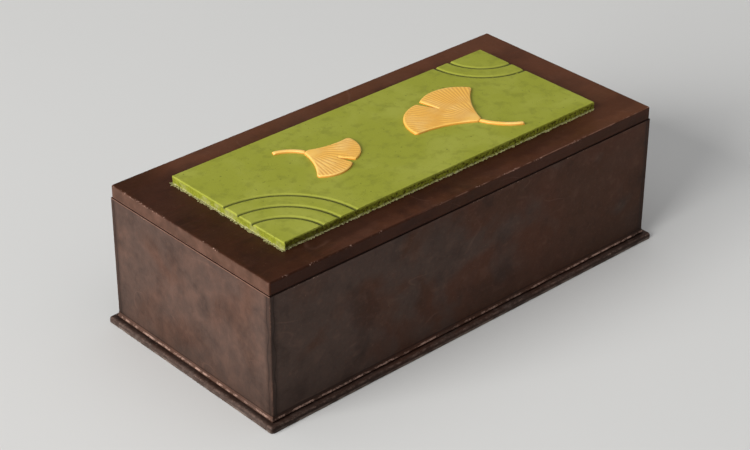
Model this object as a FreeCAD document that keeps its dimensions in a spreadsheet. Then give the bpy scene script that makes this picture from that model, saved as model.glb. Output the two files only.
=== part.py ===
"""Ink box with a lift-off lid: brush tray, inkstone, ink stick, water dropper and two brushes.

Lengths are in millimetres and angles in degrees. The origin is the middle of the underside,
X runs along the box, Y across it and Z up. Each piece is one object with its own label, and is
written to parts/LABEL.step.
"""

import FreeCAD
import Part
import Sketcher
import math
import os
from types import SimpleNamespace

from FreeCAD import Placement, Rotation, Vector

TOLERANCE = 1e-4

# Every driving size: its name in the sheet, its value and what it is.
SIZES = (
    # Lid
    ("lid_length", 270.0, "lid board along X"),
    ("lid_width", 126.2, "lid board along Y"),
    ("lid_thickness", 7.5, "lid board"),
    ("lid_corner_round", 0.9, "upright corners of the lid board"),
    ("lid_top_round", 1.0, "upper edge of the lid board"),
    ("lid_under_round", 0.5, "lower edge of the lid board"),
    ("lid_set_back", 0.5, "outer wall face past the lid's edge"),
    ("lid_lining_thickness", 0.8, "papered board under the lid"),
    ("rim_thickness", 4.0, "locating strips under the lid"),
    ("rim_depth", 6.0, "how far the strips reach down into the box"),
    ("rim_clearance", 0.5, "gap between the strips and the walls"),
    # Raised panel on the lid, placed by its margins from the lid's edges
    ("panel_margin_left", 24.0, "lid edge to panel"),
    ("panel_margin_right", 25.4, "lid edge to panel"),
    ("panel_margin_front", 17.0, "lid edge to panel"),
    ("panel_margin_back", 19.0, "lid edge to panel"),
    ("panel_thickness", 4.6, "raised panel"),
    ("panel_corner_round", 3.0, "upright corners of the panel"),
    ("panel_top_round", 1.1, "upper edge of the panel"),
    # Incised arcs on the panel
    ("ripple_first_radius", 25.0, "innermost arc, about the panel's corner"),
    ("ripple_pitch", 11.0, "from one arc to the next"),
    ("ripple_width", 1.4, "width of the cut"),
    ("ripple_depth", 0.8, "depth of the cut"),
    # Raised leaves and stalks on the panel
    ("relief_thickness", 1.3, "leaves and stalks above the panel"),
    ("relief_round", 0.4, "upper edge of leaves and stalks"),
    ("leaf_half_angle", 56.0, "half angle of a leaf's fan"),
    ("leaf_foot", 3.6, "width of a leaf where its stalk starts"),
    ("leaf_notch_width", 4.0, "mouth of the notch in a leaf"),
    ("leaf_tip_round", 2.0, "outer tips of a leaf"),
    ("stalk_width", 2.6, "leaf stalk"),
    ("large_leaf_radius", 38.0, "foot to the top of a lobe"),
    ("large_leaf_notch", 13.0, "depth of the notch"),
    ("large_leaf_lobe", 24.0, "radius of a lobe's edge"),
    ("large_leaf_side", 62.0, "radius of the hollow side edges"),
    ("large_leaf_angle", 18.0, "turn about Z"),
    ("large_leaf_from_right", 62.0, "panel edge to the leaf's foot"),
    ("large_leaf_from_front", 27.0, "panel edge to the leaf's foot"),
    ("large_stalk_bend", 30.0, "radius of the stalk's curve"),
    ("large_stalk_angle", 46.0, "angle that the stalk turns through"),
    ("small_leaf_radius", 27.0, "foot to the top of a lobe"),
    ("small_leaf_notch", 9.0, "depth of the notch"),
    ("small_leaf_lobe", 17.0, "radius of a lobe's edge"),
    ("small_leaf_side", 44.0, "radius of the hollow side edges"),
    ("small_leaf_angle", 208.0, "turn about Z"),
    ("small_leaf_from_left", 66.0, "panel edge to the leaf's foot"),
    ("small_leaf_from_front", 62.0, "panel edge to the leaf's foot"),
    ("small_stalk_bend", 20.0, "radius of the stalk's curve"),
    ("small_stalk_angle", 50.0, "angle that the stalk turns through"),
    # Walls and base
    ("wall_height", 69.5, "from the base to the lid"),
    ("wall_thickness", 6.0, "all four walls"),
    ("wall_corner_round", 0.7, "upright outer corners of the box"),
    ("wall_top_round", 0.5, "upper outer edge of the walls"),
    ("step_thickness", 3.0, "thin upper base board"),
    ("step_reach", 0.8, "its edge past the wall face"),
    ("step_edge_round", 0.7, "its upper edge"),
    ("step_corner_round", 1.0, "its upright corners"),
    ("plinth_thickness", 3.6, "lower base board"),
    ("plinth_reach", 4.1, "its edge past the wall face"),
    ("plinth_edge_round", 1.5, "its upper and lower edges"),
    ("plinth_corner_round", 1.6, "its upright corners"),
    ("floor_thickness", 3.0, "floor board between the walls"),
    ("board_clearance", 0.3, "side gap of boards laid in the box or tray"),
    ("lining_thickness", 1.0, "felt on the floor"),
    # Bed board and what it seats
    ("bed_thickness", 12.0, "board with the cut-outs"),
    ("bed_end_margin", 7.0, "bed's short edges to the cut-outs"),
    ("bed_side_margin", 8.0, "bed's long edges to the cut-outs"),
    ("bed_web", 6.0, "between the inkstone's cut-out and its neighbours"),
    ("seat_clearance", 0.5, "gap round each piece in its cut-out"),
    ("stone_width", 74.0, "inkstone along Y"),
    ("stone_thickness", 18.0, "inkstone"),
    ("stone_corner_round", 6.0, "upright corners of the inkstone"),
    ("stone_edge_round", 0.8, "upper outer edge of the inkstone"),
    ("stone_rim", 6.5, "rim round the grinding face"),
    ("stone_land_depth", 2.2, "rim down to the grinding face"),
    ("stone_well_depth", 9.5, "rim down to the bottom of the well"),
    ("stone_well_run", 15.0, "flat bottom of the well along X"),
    ("stone_slope_run", 28.0, "slope from the well to the grinding face"),
    ("stone_inner_round", 4.0, "upright inner corners"),
    ("stick_length", 96.0, "ink stick"),
    ("stick_width", 23.0, "ink stick"),
    ("stick_thickness", 11.0, "ink stick"),
    ("stick_edge_round", 1.5, "upright corners of the ink stick"),
    ("stick_face_round", 0.8, "upper and lower edges of the ink stick"),
    ("stick_border", 3.5, "round the sunk face of the ink stick"),
    ("stick_face_depth", 0.5, "depth of the sunk face"),
    ("stick_seat_depth", 6.0, "depth of its trough in the bed"),
    ("dropper_radius", 22.5, "water dropper"),
    ("dropper_height", 17.0, "cup of the water dropper"),
    ("dropper_wall", 3.2, "cup wall"),
    ("dropper_floor", 3.0, "cup floor"),
    ("dropper_foot_round", 1.6, "lower edge of the cup"),
    ("dropper_ledge", 1.6, "ledge in the cup that carries the cover"),
    ("cover_thickness", 2.2, "edge of the cover"),
    ("cover_rise", 2.2, "dome of the cover"),
    ("cover_hole_radius", 1.4, "air hole and pouring hole"),
    ("cover_hole_reach", 12.0, "each hole from the middle"),
    ("glue_gap", 0.1, "round a glued or fired-in round piece"),
    # Tray
    ("tray_height", 22.0, "whole tray"),
    ("tray_base_thickness", 2.5, "tray base"),
    ("tray_wall_thickness", 3.5, "tray walls"),
    ("tray_clearance", 0.6, "gap between tray and box walls"),
    ("tray_top_gap", 2.5, "tray to the strips under the lid"),
    ("tray_rest_thickness", 4.0, "end boards that carry the tray"),
    ("divider_thickness", 3.0, "board between the two bays"),
    ("divider_drop", 4.5, "top of the divider below the tray's top"),
    ("back_bay_width", 33.5, "bay behind the divider"),
    ("bar_width", 9.0, "notched bar along X"),
    ("bar_height", 9.0, "notched bar above the tray base"),
    ("bar_left_inset", 62.0, "tray's left inner face to the left bar"),
    ("bar_right_inset", 86.0, "tray's right inner face to the right bar"),
    ("brush_side_gap", 16.0, "brush axis to the wall or divider beside it"),
    ("notch_clearance", 0.3, "gap round a brush handle in its notch"),
    # Large brush
    ("large_end_gap", 15.5, "either end of the brush to the tray"),
    ("large_handle_radius", 4.5, "handle"),
    ("large_cap_radius", 5.2, "end cap"),
    ("large_cap_length", 7.0, "end cap"),
    ("large_collar_radius", 6.2, "collar"),
    ("large_collar_length", 16.0, "collar"),
    ("large_root_radius", 4.9, "hair where it is glued in"),
    ("large_belly_radius", 5.7, "widest part of the hair"),
    ("large_hair_length", 42.0, "hair outside the collar"),
    # Small brush
    ("small_end_gap", 27.0, "either end of the brush to the tray"),
    ("small_handle_radius", 3.2, "handle"),
    ("small_cap_radius", 3.8, "end cap"),
    ("small_cap_length", 6.0, "end cap"),
    ("small_collar_radius", 4.5, "collar"),
    ("small_collar_length", 12.0, "collar"),
    ("small_root_radius", 3.4, "hair where it is glued in"),
    ("small_belly_radius", 3.8, "widest part of the hair"),
    ("small_hair_length", 24.0, "hair outside the collar"),
    # Both brushes
    ("cap_socket", 4.0, "handle inside the end cap"),
    ("handle_socket", 6.0, "handle inside the collar"),
    ("hair_socket", 4.0, "hair inside the collar"),
    ("hair_tip_radius", 0.3, "point of the hair"),
    ("collar_lip", 0.5, "collar wall at the end where the hair starts"),
    # Making
    ("cut_past", 1.0, "how far a cut runs past the face that it opens"),
)

# Counts
FRONT_RIPPLES = 3
BACK_RIPPLES = 2

# Degrees by which an incised arc runs past each edge of the panel
RIPPLE_PAST_ANGLE = 8.0


class Length:
    """A size with the spreadsheet expression that it comes from, so that both stay in step."""

    def __init__(self, number, text):
        self.number = number
        self.text = text

    @staticmethod
    def of(value):
        if isinstance(value, Length):
            return value
        return Length(float(value), repr(float(value)))

    def __add__(self, other):
        other = Length.of(other)
        return Length(self.number + other.number, f"({self.text} + {other.text})")

    def __sub__(self, other):
        other = Length.of(other)
        return Length(self.number - other.number, f"({self.text} - {other.text})")

    def __mul__(self, other):
        other = Length.of(other)
        return Length(self.number * other.number, f"({self.text} * {other.text})")

    def __truediv__(self, other):
        other = Length.of(other)
        return Length(self.number / other.number, f"({self.text} / {other.text})")

    def __radd__(self, other):
        return Length.of(other) + self

    def __rsub__(self, other):
        return Length.of(other) - self

    def __rmul__(self, other):
        return Length.of(other) * self

    def __neg__(self):
        return Length(-self.number, f"(-{self.text})")


def cosine(angle):
    return Length(math.cos(math.radians(angle.number)), f"cos({angle.text} * 1 deg)")


def sine(angle):
    return Length(math.sin(math.radians(angle.number)), f"sin({angle.text} * 1 deg)")


def smaller(first, second):
    return Length(min(first.number, second.number), f"min({first.text}; {second.text})")


def limited(radius, room):
    """A rounding radius that never takes more than its share of the room it has."""
    return smaller(radius, room * 0.49)


def make_sheet(document):
    """The sheet of driving sizes, and a namespace with a Length for each of them."""
    sheet = document.addObject("Spreadsheet::Sheet", "sizes")
    lengths = {}
    for row, (name, value, meaning) in enumerate(SIZES, start=1):
        sheet.set(f"A{row}", meaning)
        sheet.set(f"B{row}", str(value))
        sheet.setAlias(f"B{row}", name)
        lengths[name] = Length(value, f"sizes.{name}")
    document.recompute()
    return SimpleNamespace(**lengths)


doc = FreeCAD.newDocument("ink_box")
size = make_sheet(doc)
pieces = []

# Outside of the box
body_length = size.lid_length + 2 * size.lid_set_back
body_width = size.lid_width + 2 * size.lid_set_back
inner_length = body_length - 2 * size.wall_thickness
inner_width = body_width - 2 * size.wall_thickness
step_top = size.plinth_thickness + size.step_thickness
wall_top = step_top + size.wall_height
lid_top = wall_top + size.lid_thickness

# Panel on the lid
panel_length = size.lid_length - size.panel_margin_left - size.panel_margin_right
panel_width = size.lid_width - size.panel_margin_front - size.panel_margin_back
panel_x = (size.panel_margin_left - size.panel_margin_right) / 2
panel_y = (size.panel_margin_front - size.panel_margin_back) / 2
panel_top = lid_top + size.panel_thickness

# Inside of the box
floor_top = step_top + size.floor_thickness
lining_top = floor_top + size.lining_thickness
rim_length = inner_length - 2 * size.rim_clearance
rim_width = inner_width - 2 * size.rim_clearance
tray_rest_height = (
    size.wall_height - size.floor_thickness - size.rim_depth - size.tray_top_gap - size.tray_height
)
between_rests = inner_length - 2 * size.tray_rest_thickness
bed_length = between_rests - 2 * size.board_clearance
bed_width = inner_width - 2 * size.board_clearance

# Cut-outs in the bed, from its left end to its right
stone_length = (
    bed_length
    - 2 * size.bed_end_margin
    - size.bed_web
    - size.stick_length
    - 4 * size.seat_clearance
)
stone_x = size.bed_end_margin + size.seat_clearance + stone_length / 2 - bed_length / 2
stick_x = bed_length / 2 - size.bed_end_margin - size.seat_clearance - size.stick_length / 2
stick_y = size.bed_side_margin + size.seat_clearance + size.stick_width / 2 - bed_width / 2
dropper_x = stick_x
dropper_y = bed_width / 2 - size.bed_side_margin - size.seat_clearance - size.dropper_radius

# Tray
tray_length = inner_length - 2 * size.tray_clearance
tray_width = inner_width - 2 * size.tray_clearance
tray_inner_length = tray_length - 2 * size.tray_wall_thickness
tray_inner_width = tray_width - 2 * size.tray_wall_thickness
tray_z = floor_top + tray_rest_height
tray_floor_z = tray_z + size.tray_base_thickness
tray_depth = size.tray_height - size.tray_base_thickness
front_bay_width = tray_inner_width - size.back_bay_width - size.divider_thickness
front_bay_y = (front_bay_width - tray_inner_width) / 2
divider_y = front_bay_width + size.divider_thickness / 2 - tray_inner_width / 2
large_brush_y = size.brush_side_gap - tray_inner_width / 2
small_brush_y = front_bay_width - size.brush_side_gap - tray_inner_width / 2
brush_z = tray_floor_z + size.bar_height


def number(value):
    return Length.of(value).number


def bind(item, path, value):
    """Tie one property to the sheet, or leave it alone where the value is zero."""
    if number(value) != 0 or isinstance(value, Length):
        item.setExpression(path, Length.of(value).text)


def add_body(name, x=0, y=0, z=0, turn=0):
    """An empty body at x, y, z, turned about Z."""
    body = doc.addObject("PartDesign::Body", name)
    body.Label = name
    body.Placement = Placement(Vector(), Rotation(Vector(0, 0, 1), number(turn)))
    bind(body, ".Placement.Base.x", x)
    bind(body, ".Placement.Base.y", y)
    bind(body, ".Placement.Base.z", z)
    pieces.append(body)
    return body


def add_sketch(body, name, plane="XY_Plane", lift=0):
    """A sketch on one of the body's own planes, raised by lift along the plane's normal."""
    sketch = body.newObject("Sketcher::SketchObject", f"{body.Name}_{name}")
    features = body.Origin.OriginFeatures
    support = next(feature for feature in features if feature.Role == plane)
    sketch.AttachmentSupport = [(support, "")]
    sketch.MapMode = "FlatFace"
    bind(sketch, ".AttachmentOffset.Base.z", lift)
    return sketch


def hold(sketch, kind, where, value):
    """One dimension of a sketch, tied to the sheet."""
    index = sketch.addConstraint(Sketcher.Constraint(kind, *where, number(value)))
    bind(sketch, f"Constraints[{index}]", value)


def arc_between(start, end, radius):
    """The short arc from start to end, and which of its ends is which in the sketch.

    A radius above zero turns left on the way, one below zero turns right."""
    chord = end - start
    side = Vector(-chord.y, chord.x, 0).normalize()
    reach = math.sqrt(radius**2 - (chord.Length / 2) ** 2)
    left = radius > 0
    centre = (start + end) / 2 + side * (reach if left else -reach)
    first, last = (start, end) if left else (end, start)
    angle_from = math.atan2(first.y - centre.y, first.x - centre.x)
    angle_to = math.atan2(last.y - centre.y, last.x - centre.x)
    if angle_to < angle_from:
        angle_to += 2 * math.pi
    circle = Part.Circle(centre, Vector(0, 0, 1), abs(radius))
    ends = (1, 2) if left else (2, 1)
    return Part.ArcOfCircle(circle, angle_from, angle_to), ends


def draw_outline(sketch, corners, arcs=None):
    """A closed outline through corners, each an x, y pair.

    arcs gives the radius of each stretch that isn't straight, by the corner it starts from."""
    arcs = arcs or {}
    first = sketch.GeometryCount
    points = [Vector(number(x), number(y), 0) for x, y in corners]
    following = points[1:] + points[:1]
    ends = []
    for index, (start, end) in enumerate(zip(points, following)):
        if index in arcs:
            arc, order = arc_between(start, end, number(arcs[index]))
            sketch.addGeometry(arc, False)
            ends.append(order)
        else:
            sketch.addGeometry(Part.LineSegment(start, end), False)
            ends.append((1, 2))
    count = len(corners)
    for index, (x, y) in enumerate(corners):
        here = first + index
        after = (index + 1) % count
        joined = Sketcher.Constraint("Coincident", here, ends[index][1], first + after, ends[after][0])
        sketch.addConstraint(joined)
        hold(sketch, "DistanceX", (-1, 1, here, ends[index][0]), x)
        hold(sketch, "DistanceY", (-1, 1, here, ends[index][0]), y)
    for index, radius in arcs.items():
        outward = radius if number(radius) > 0 else -radius
        hold(sketch, "Radius", (first + index,), outward)


def draw_rectangle(sketch, length, width, x=0, y=0):
    """A rectangle with its middle at x, y."""
    right = length / 2 + x
    left = x - length / 2
    back = width / 2 + y
    front = y - width / 2
    draw_outline(sketch, ((left, front), (right, front), (right, back), (left, back)))


def draw_circle(sketch, radius, x=0, y=0):
    """A circle with its middle at x, y."""
    index = sketch.GeometryCount
    centre = Vector(number(x), number(y), 0)
    sketch.addGeometry(Part.Circle(centre, Vector(0, 0, 1), number(radius)), False)
    hold(sketch, "DistanceX", (-1, 1, index, 3), x)
    hold(sketch, "DistanceY", (-1, 1, index, 3), y)
    hold(sketch, "Radius", (index,), radius)


def pad(body, sketch, height):
    feature = body.newObject("PartDesign::Pad", f"{sketch.Name}_pad")
    feature.Profile = sketch
    bind(feature, "Length", height)
    return feature


def pocket(body, sketch, depth=None, symmetric=False):
    """Cut down from a sketch: to a depth, or right through. A symmetric one goes both ways."""
    before = solid_volume(body)
    feature = body.newObject("PartDesign::Pocket", f"{sketch.Name}_cut")
    feature.Profile = sketch
    if depth is None:
        feature.Type = "ThroughAll"
    else:
        bind(feature, "Length", depth)
    if symmetric:
        feature.SideType = "Symmetric"
    if solid_volume(body) > before - TOLERANCE:
        raise RuntimeError(f"{feature.Name} cut nothing")
    return feature


def revolve(body, sketch, axis):
    """Turn a half profile about the sketch's own H_Axis or V_Axis."""
    feature = body.newObject("PartDesign::Revolution", f"{sketch.Name}_turned")
    feature.Profile = sketch
    feature.ReferenceAxis = (sketch, [axis])
    feature.Angle = 360
    return feature


def solid_volume(body):
    doc.recompute()
    return body.Shape.Volume


def round_edges(body, name, radius, picked):
    """Round the edges of the body so far that picked says yes to."""
    doc.recompute()
    last = body.Tip
    edges = [f"Edge{index}" for index, edge in enumerate(last.Shape.Edges, start=1) if picked(edge)]
    if not edges:
        raise RuntimeError(f"{body.Label} has no edges for {name}")
    feature = body.newObject("PartDesign::Fillet", f"{body.Name}_{name}")
    feature.Base = (last, edges)
    bind(feature, "Radius", radius)
    return feature


def near(first, second):
    return abs(number(first) - number(second)) < TOLERANCE


def upright(edge):
    """Whether an edge runs straight up."""
    box = edge.BoundBox
    return box.XLength < TOLERANCE and box.YLength < TOLERANCE


def level(edge, height):
    """Whether an edge lies flat at a height."""
    box = edge.BoundBox
    return near(box.ZMin, height) and near(box.ZMax, height)


def upright_at(edge, x, y):
    """Whether an edge runs straight up at x, y."""
    box = edge.BoundBox
    return upright(edge) and near(box.XMin, x) and near(box.YMin, y)


def add_board(name, length, width, height, x=0, y=0, z=0):
    """A plain board with its middle at x, y and its underside at z."""
    body = add_body(name, x, y, z)
    sketch = add_sketch(body, "outline")
    draw_rectangle(sketch, length, width)
    pad(body, sketch, height)
    return body


def make_base():
    """The two boards that the box stands on."""
    plinth = add_board(
        "plinth_board",
        body_length + 2 * size.plinth_reach,
        body_width + 2 * size.plinth_reach,
        size.plinth_thickness,
    )
    edge_round = limited(size.plinth_edge_round, size.plinth_thickness)
    round_edges(plinth, "corners", size.plinth_corner_round, upright)
    round_edges(plinth, "upper_edge", edge_round, lambda edge: level(edge, size.plinth_thickness))
    round_edges(plinth, "lower_edge", edge_round, lambda edge: level(edge, 0))
    step = add_board(
        "step_board",
        body_length + 2 * size.step_reach,
        body_width + 2 * size.step_reach,
        size.step_thickness,
        z=size.plinth_thickness,
    )
    edge_round = limited(size.step_edge_round, size.step_thickness)
    round_edges(step, "corners", size.step_corner_round, upright)
    round_edges(step, "upper_edge", edge_round, lambda edge: level(edge, size.step_thickness))


def make_walls():
    """Two long walls that run the full length, and two end walls between them."""
    corner_round = limited(size.wall_corner_round, size.wall_thickness)
    top_round = limited(size.wall_top_round, size.wall_corner_round)
    for name, side in (("front_wall", -1), ("back_wall", 1)):
        y = side * (body_width - size.wall_thickness) / 2
        wall = add_board(name, body_length, size.wall_thickness, size.wall_height, y=y, z=step_top)
        outer = side * size.wall_thickness.number / 2
        round_edges(
            wall,
            "corners",
            corner_round,
            lambda edge: upright(edge) and near(edge.BoundBox.YMin, outer),
        )
        round_edges(
            wall,
            "upper_edge",
            top_round,
            lambda edge: level(edge, size.wall_height) and not near(edge.CenterOfMass.y, -outer),
        )
    for name, side in (("left_wall", -1), ("right_wall", 1)):
        x = side * (body_length - size.wall_thickness) / 2
        wall = add_board(name, size.wall_thickness, inner_width, size.wall_height, x=x, z=step_top)
        outer = side * size.wall_thickness.number / 2
        round_edges(
            wall,
            "upper_edge",
            top_round,
            lambda edge: level(edge, size.wall_height) and near(edge.CenterOfMass.x, outer),
        )


def make_inside():
    """The floor, its felt and the end boards that carry the tray."""
    floor_length = inner_length - 2 * size.board_clearance
    add_board("floor_board", floor_length, bed_width, size.floor_thickness, z=step_top)
    add_board("floor_lining", bed_length, bed_width, size.lining_thickness, z=floor_top)
    for name, side in (("tray_rest_left", -1), ("tray_rest_right", 1)):
        x = side * (inner_length - size.tray_rest_thickness) / 2
        add_board(name, size.tray_rest_thickness, bed_width, tray_rest_height, x=x, z=floor_top)


def make_bed():
    """The board that seats the inkstone, the ink stick and the water dropper."""
    bed = add_board("bed_board", bed_length, bed_width, size.bed_thickness, z=lining_top)
    gap = 2 * size.seat_clearance
    stone_seat = add_sketch(bed, "stone_seat", lift=size.bed_thickness)
    draw_rectangle(stone_seat, stone_length + gap, size.stone_width + gap, x=stone_x)
    pocket(bed, stone_seat)
    half_length = (stone_length + gap) / 2
    half_width = (size.stone_width + gap) / 2

    def stone_corner(edge):
        on_side = near(abs(edge.BoundBox.YMin), half_width)
        return on_side and near(abs(edge.BoundBox.XMin - stone_x.number), half_length)

    round_edges(
        bed,
        "stone_corners",
        size.stone_corner_round + size.seat_clearance,
        lambda edge: upright(edge) and stone_corner(edge),
    )
    stick_seat = add_sketch(bed, "stick_seat", lift=size.bed_thickness)
    draw_rectangle(
        stick_seat, size.stick_length + gap, size.stick_width + gap, x=stick_x, y=stick_y
    )
    pocket(bed, stick_seat, limited(size.stick_seat_depth, size.bed_thickness * 2))
    dropper_seat = add_sketch(bed, "dropper_seat", lift=size.bed_thickness)
    draw_circle(dropper_seat, size.dropper_radius + size.seat_clearance, x=dropper_x, y=dropper_y)
    pocket(bed, dropper_seat)


def make_lid():
    """The lid board, the strips that locate it and the lining between them."""
    lid = add_board("lid_board", size.lid_length, size.lid_width, size.lid_thickness, z=wall_top)
    round_edges(lid, "corners", size.lid_corner_round, upright)
    top_round = limited(size.lid_top_round, size.lid_thickness)
    under_round = limited(size.lid_under_round, size.lid_thickness)
    round_edges(lid, "upper_edge", top_round, lambda edge: level(edge, size.lid_thickness))
    round_edges(lid, "lower_edge", under_round, lambda edge: level(edge, 0))
    z = wall_top - size.rim_depth
    strip = size.rim_thickness
    for name, side in (("lid_rim_front", -1), ("lid_rim_back", 1)):
        y = side * (rim_width - strip) / 2
        add_board(name, rim_length, strip, size.rim_depth, y=y, z=z)
    for name, side in (("lid_rim_left", -1), ("lid_rim_right", 1)):
        x = side * (rim_length - strip) / 2
        add_board(name, strip, rim_width - 2 * strip, size.rim_depth, x=x, z=z)
    around = 2 * (strip + size.board_clearance)
    add_board(
        "lid_lining",
        rim_length - around,
        rim_width - around,
        size.lid_lining_thickness,
        z=wall_top - size.lid_lining_thickness,
    )


def draw_ripple(sketch, radius, side):
    """One incised arc about the front left corner of the panel, or the back right one.

    It runs a little past both edges, so that the cut is open there. side is 1 or -1."""
    past = Length.of(RIPPLE_PAST_ANGLE)
    inner = radius - size.ripple_width / 2
    outer = radius + size.ripple_width / 2
    corner_x = -side * panel_length / 2
    corner_y = -side * panel_width / 2
    across = cosine(past)
    under = sine(past)
    corners = (
        (corner_x + side * inner * across, corner_y - side * inner * under),
        (corner_x + side * outer * across, corner_y - side * outer * under),
        (corner_x - side * outer * under, corner_y + side * outer * across),
        (corner_x - side * inner * under, corner_y + side * inner * across),
    )
    draw_outline(sketch, corners, {1: outer, 3: -inner})


def make_panel():
    """The raised panel with its incised arcs."""
    panel = add_board(
        "lid_panel", panel_length, panel_width, size.panel_thickness, x=panel_x, y=panel_y, z=lid_top
    )
    round_edges(panel, "corners", size.panel_corner_round, upright)
    top_round = limited(size.panel_top_round, size.panel_thickness)
    round_edges(panel, "upper_edge", top_round, lambda edge: level(edge, size.panel_thickness))
    ripples = add_sketch(panel, "ripples", lift=size.panel_thickness)
    for side, count in ((1, FRONT_RIPPLES), (-1, BACK_RIPPLES)):
        for index in range(count):
            draw_ripple(ripples, size.ripple_first_radius + index * size.ripple_pitch, side)
    pocket(panel, ripples, limited(size.ripple_depth, size.panel_thickness))


def make_leaf(name, leaf, x, y):
    """A fan-shaped leaf with a notch, its foot at x, y on the panel, and the stalk below it."""
    body = add_body(f"{name}_leaf", x, y, panel_top, leaf.turn)
    sketch = add_sketch(body, "outline")
    foot = size.leaf_foot / 2
    notch = size.leaf_notch_width / 2
    tip_x = leaf.radius * sine(size.leaf_half_angle)
    tip_y = leaf.radius * cosine(size.leaf_half_angle)
    corners = (
        (-foot, 0),
        (foot, 0),
        (tip_x, tip_y),
        (notch, leaf.radius),
        (0, leaf.radius - leaf.notch),
        (-notch, leaf.radius),
        (-tip_x, tip_y),
    )
    draw_outline(sketch, corners, {1: -leaf.side, 2: leaf.lobe, 5: leaf.lobe, 6: -leaf.side})
    pad(body, sketch, size.relief_thickness)
    round_edges(
        body,
        "tips",
        size.leaf_tip_round,
        lambda edge: upright_at(edge, tip_x, tip_y) or upright_at(edge, -tip_x, tip_y),
    )
    edge_round = limited(size.relief_round, size.relief_thickness)
    round_edges(body, "upper_edge", edge_round, lambda edge: level(edge, size.relief_thickness))
    make_stalk(f"{name}_stalk", leaf, x, y)


def make_stalk(name, leaf, x, y):
    """A stalk that leaves the leaf's foot and curves round a centre beside it."""
    body = add_body(name, x, y, panel_top, leaf.turn)
    sketch = add_sketch(body, "outline")
    half = size.stalk_width / 2
    inner = leaf.bend - half
    outer = leaf.bend + half
    across = cosine(leaf.sweep)
    down = sine(leaf.sweep)
    corners = (
        (-half, 0),
        (leaf.bend - outer * across, -(outer * down)),
        (leaf.bend - inner * across, -(inner * down)),
        (half, 0),
    )
    draw_outline(sketch, corners, {0: outer, 2: -inner})
    pad(body, sketch, size.relief_thickness)
    edge_round = limited(size.relief_round, size.relief_thickness)
    round_edges(
        body,
        "upper_edge",
        edge_round,
        lambda edge: level(edge, size.relief_thickness) and edge.BoundBox.YMin < -TOLERANCE,
    )


def make_leaves():
    """The two leaves on the panel."""
    large = SimpleNamespace(
        radius=size.large_leaf_radius,
        notch=size.large_leaf_notch,
        lobe=size.large_leaf_lobe,
        side=size.large_leaf_side,
        turn=size.large_leaf_angle,
        bend=size.large_stalk_bend,
        sweep=size.large_stalk_angle,
    )
    small = SimpleNamespace(
        radius=size.small_leaf_radius,
        notch=size.small_leaf_notch,
        lobe=size.small_leaf_lobe,
        side=size.small_leaf_side,
        turn=size.small_leaf_angle,
        bend=size.small_stalk_bend,
        sweep=size.small_stalk_angle,
    )
    front = panel_y - panel_width / 2
    large_x = panel_x + panel_length / 2 - size.large_leaf_from_right
    small_x = panel_x - panel_length / 2 + size.small_leaf_from_left
    make_leaf("large", large, large_x, front + size.large_leaf_from_front)
    make_leaf("small", small, small_x, front + size.small_leaf_from_front)


def make_tray():
    """The lift-out tray: base, walls, divider and the two notched bars for the brushes."""
    add_board("tray_base", tray_length, tray_width, size.tray_base_thickness, z=tray_z)
    wall = size.tray_wall_thickness
    for name, side in (("tray_wall_front", -1), ("tray_wall_back", 1)):
        y = side * (tray_width - wall) / 2
        add_board(name, tray_length, wall, tray_depth, y=y, z=tray_floor_z)
    for name, side in (("tray_wall_left", -1), ("tray_wall_right", 1)):
        x = side * (tray_length - wall) / 2
        add_board(name, wall, tray_inner_width, tray_depth, x=x, z=tray_floor_z)
    add_board(
        "tray_divider",
        tray_inner_length,
        size.divider_thickness,
        tray_depth - size.divider_drop,
        y=divider_y,
        z=tray_floor_z,
    )
    left = size.bar_left_inset - tray_inner_length / 2
    right = tray_inner_length / 2 - size.bar_right_inset
    make_notched_bar("brush_bar_left", left)
    make_notched_bar("brush_bar_right", right)


def make_notched_bar(name, x):
    """A bar across the front bay with a round notch for each brush handle."""
    length = front_bay_width - 2 * size.board_clearance
    bar = add_board(name, size.bar_width, length, size.bar_height, x=x, y=front_bay_y, z=tray_floor_z)
    notches = add_sketch(bar, "notches", plane="YZ_Plane")
    for radius, y in (
        (size.large_handle_radius, large_brush_y),
        (size.small_handle_radius, small_brush_y),
    ):
        draw_circle(notches, radius + size.notch_clearance, y - front_bay_y, size.bar_height)
    pocket(bar, notches, size.bar_width + 2 * size.cut_past, symmetric=True)


def make_inkstone():
    """A stone block with a rim, a level grinding face and a slope down into the well."""
    stone = add_board(
        "inkstone", stone_length, size.stone_width, size.stone_thickness, x=stone_x, z=lining_top
    )
    round_edges(stone, "corners", size.stone_corner_round, upright)
    hollow = add_sketch(stone, "hollow", plane="XZ_Plane")
    top = size.stone_thickness
    left = size.stone_rim - stone_length / 2
    right = stone_length / 2 - size.stone_rim
    well_end = left + size.stone_well_run
    slope_end = well_end + size.stone_slope_run
    land = top - size.stone_land_depth
    well = top - size.stone_well_depth
    corners = (
        (left, well),
        (well_end, well),
        (slope_end, land),
        (right, land),
        (right, top + size.cut_past),
        (left, top + size.cut_past),
    )
    draw_outline(hollow, corners)
    hollow_width = size.stone_width - 2 * size.stone_rim
    pocket(stone, hollow, hollow_width, symmetric=True)

    def inner_corner(edge):
        return near(abs(edge.BoundBox.YMin), hollow_width / 2)

    round_edges(
        stone,
        "inner_corners",
        size.stone_inner_round,
        lambda edge: upright(edge) and inner_corner(edge),
    )
    outer_round = limited(size.stone_edge_round, size.stone_rim)
    reach_x = stone_length.number / 2 - size.stone_corner_round.number
    reach_y = size.stone_width.number / 2 - size.stone_corner_round.number

    def outer_edge(edge):
        middle = edge.BoundBox.Center
        return abs(middle.x) > reach_x or abs(middle.y) > reach_y

    round_edges(
        stone, "upper_edge", outer_round, lambda edge: level(edge, top) and outer_edge(edge)
    )


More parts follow.
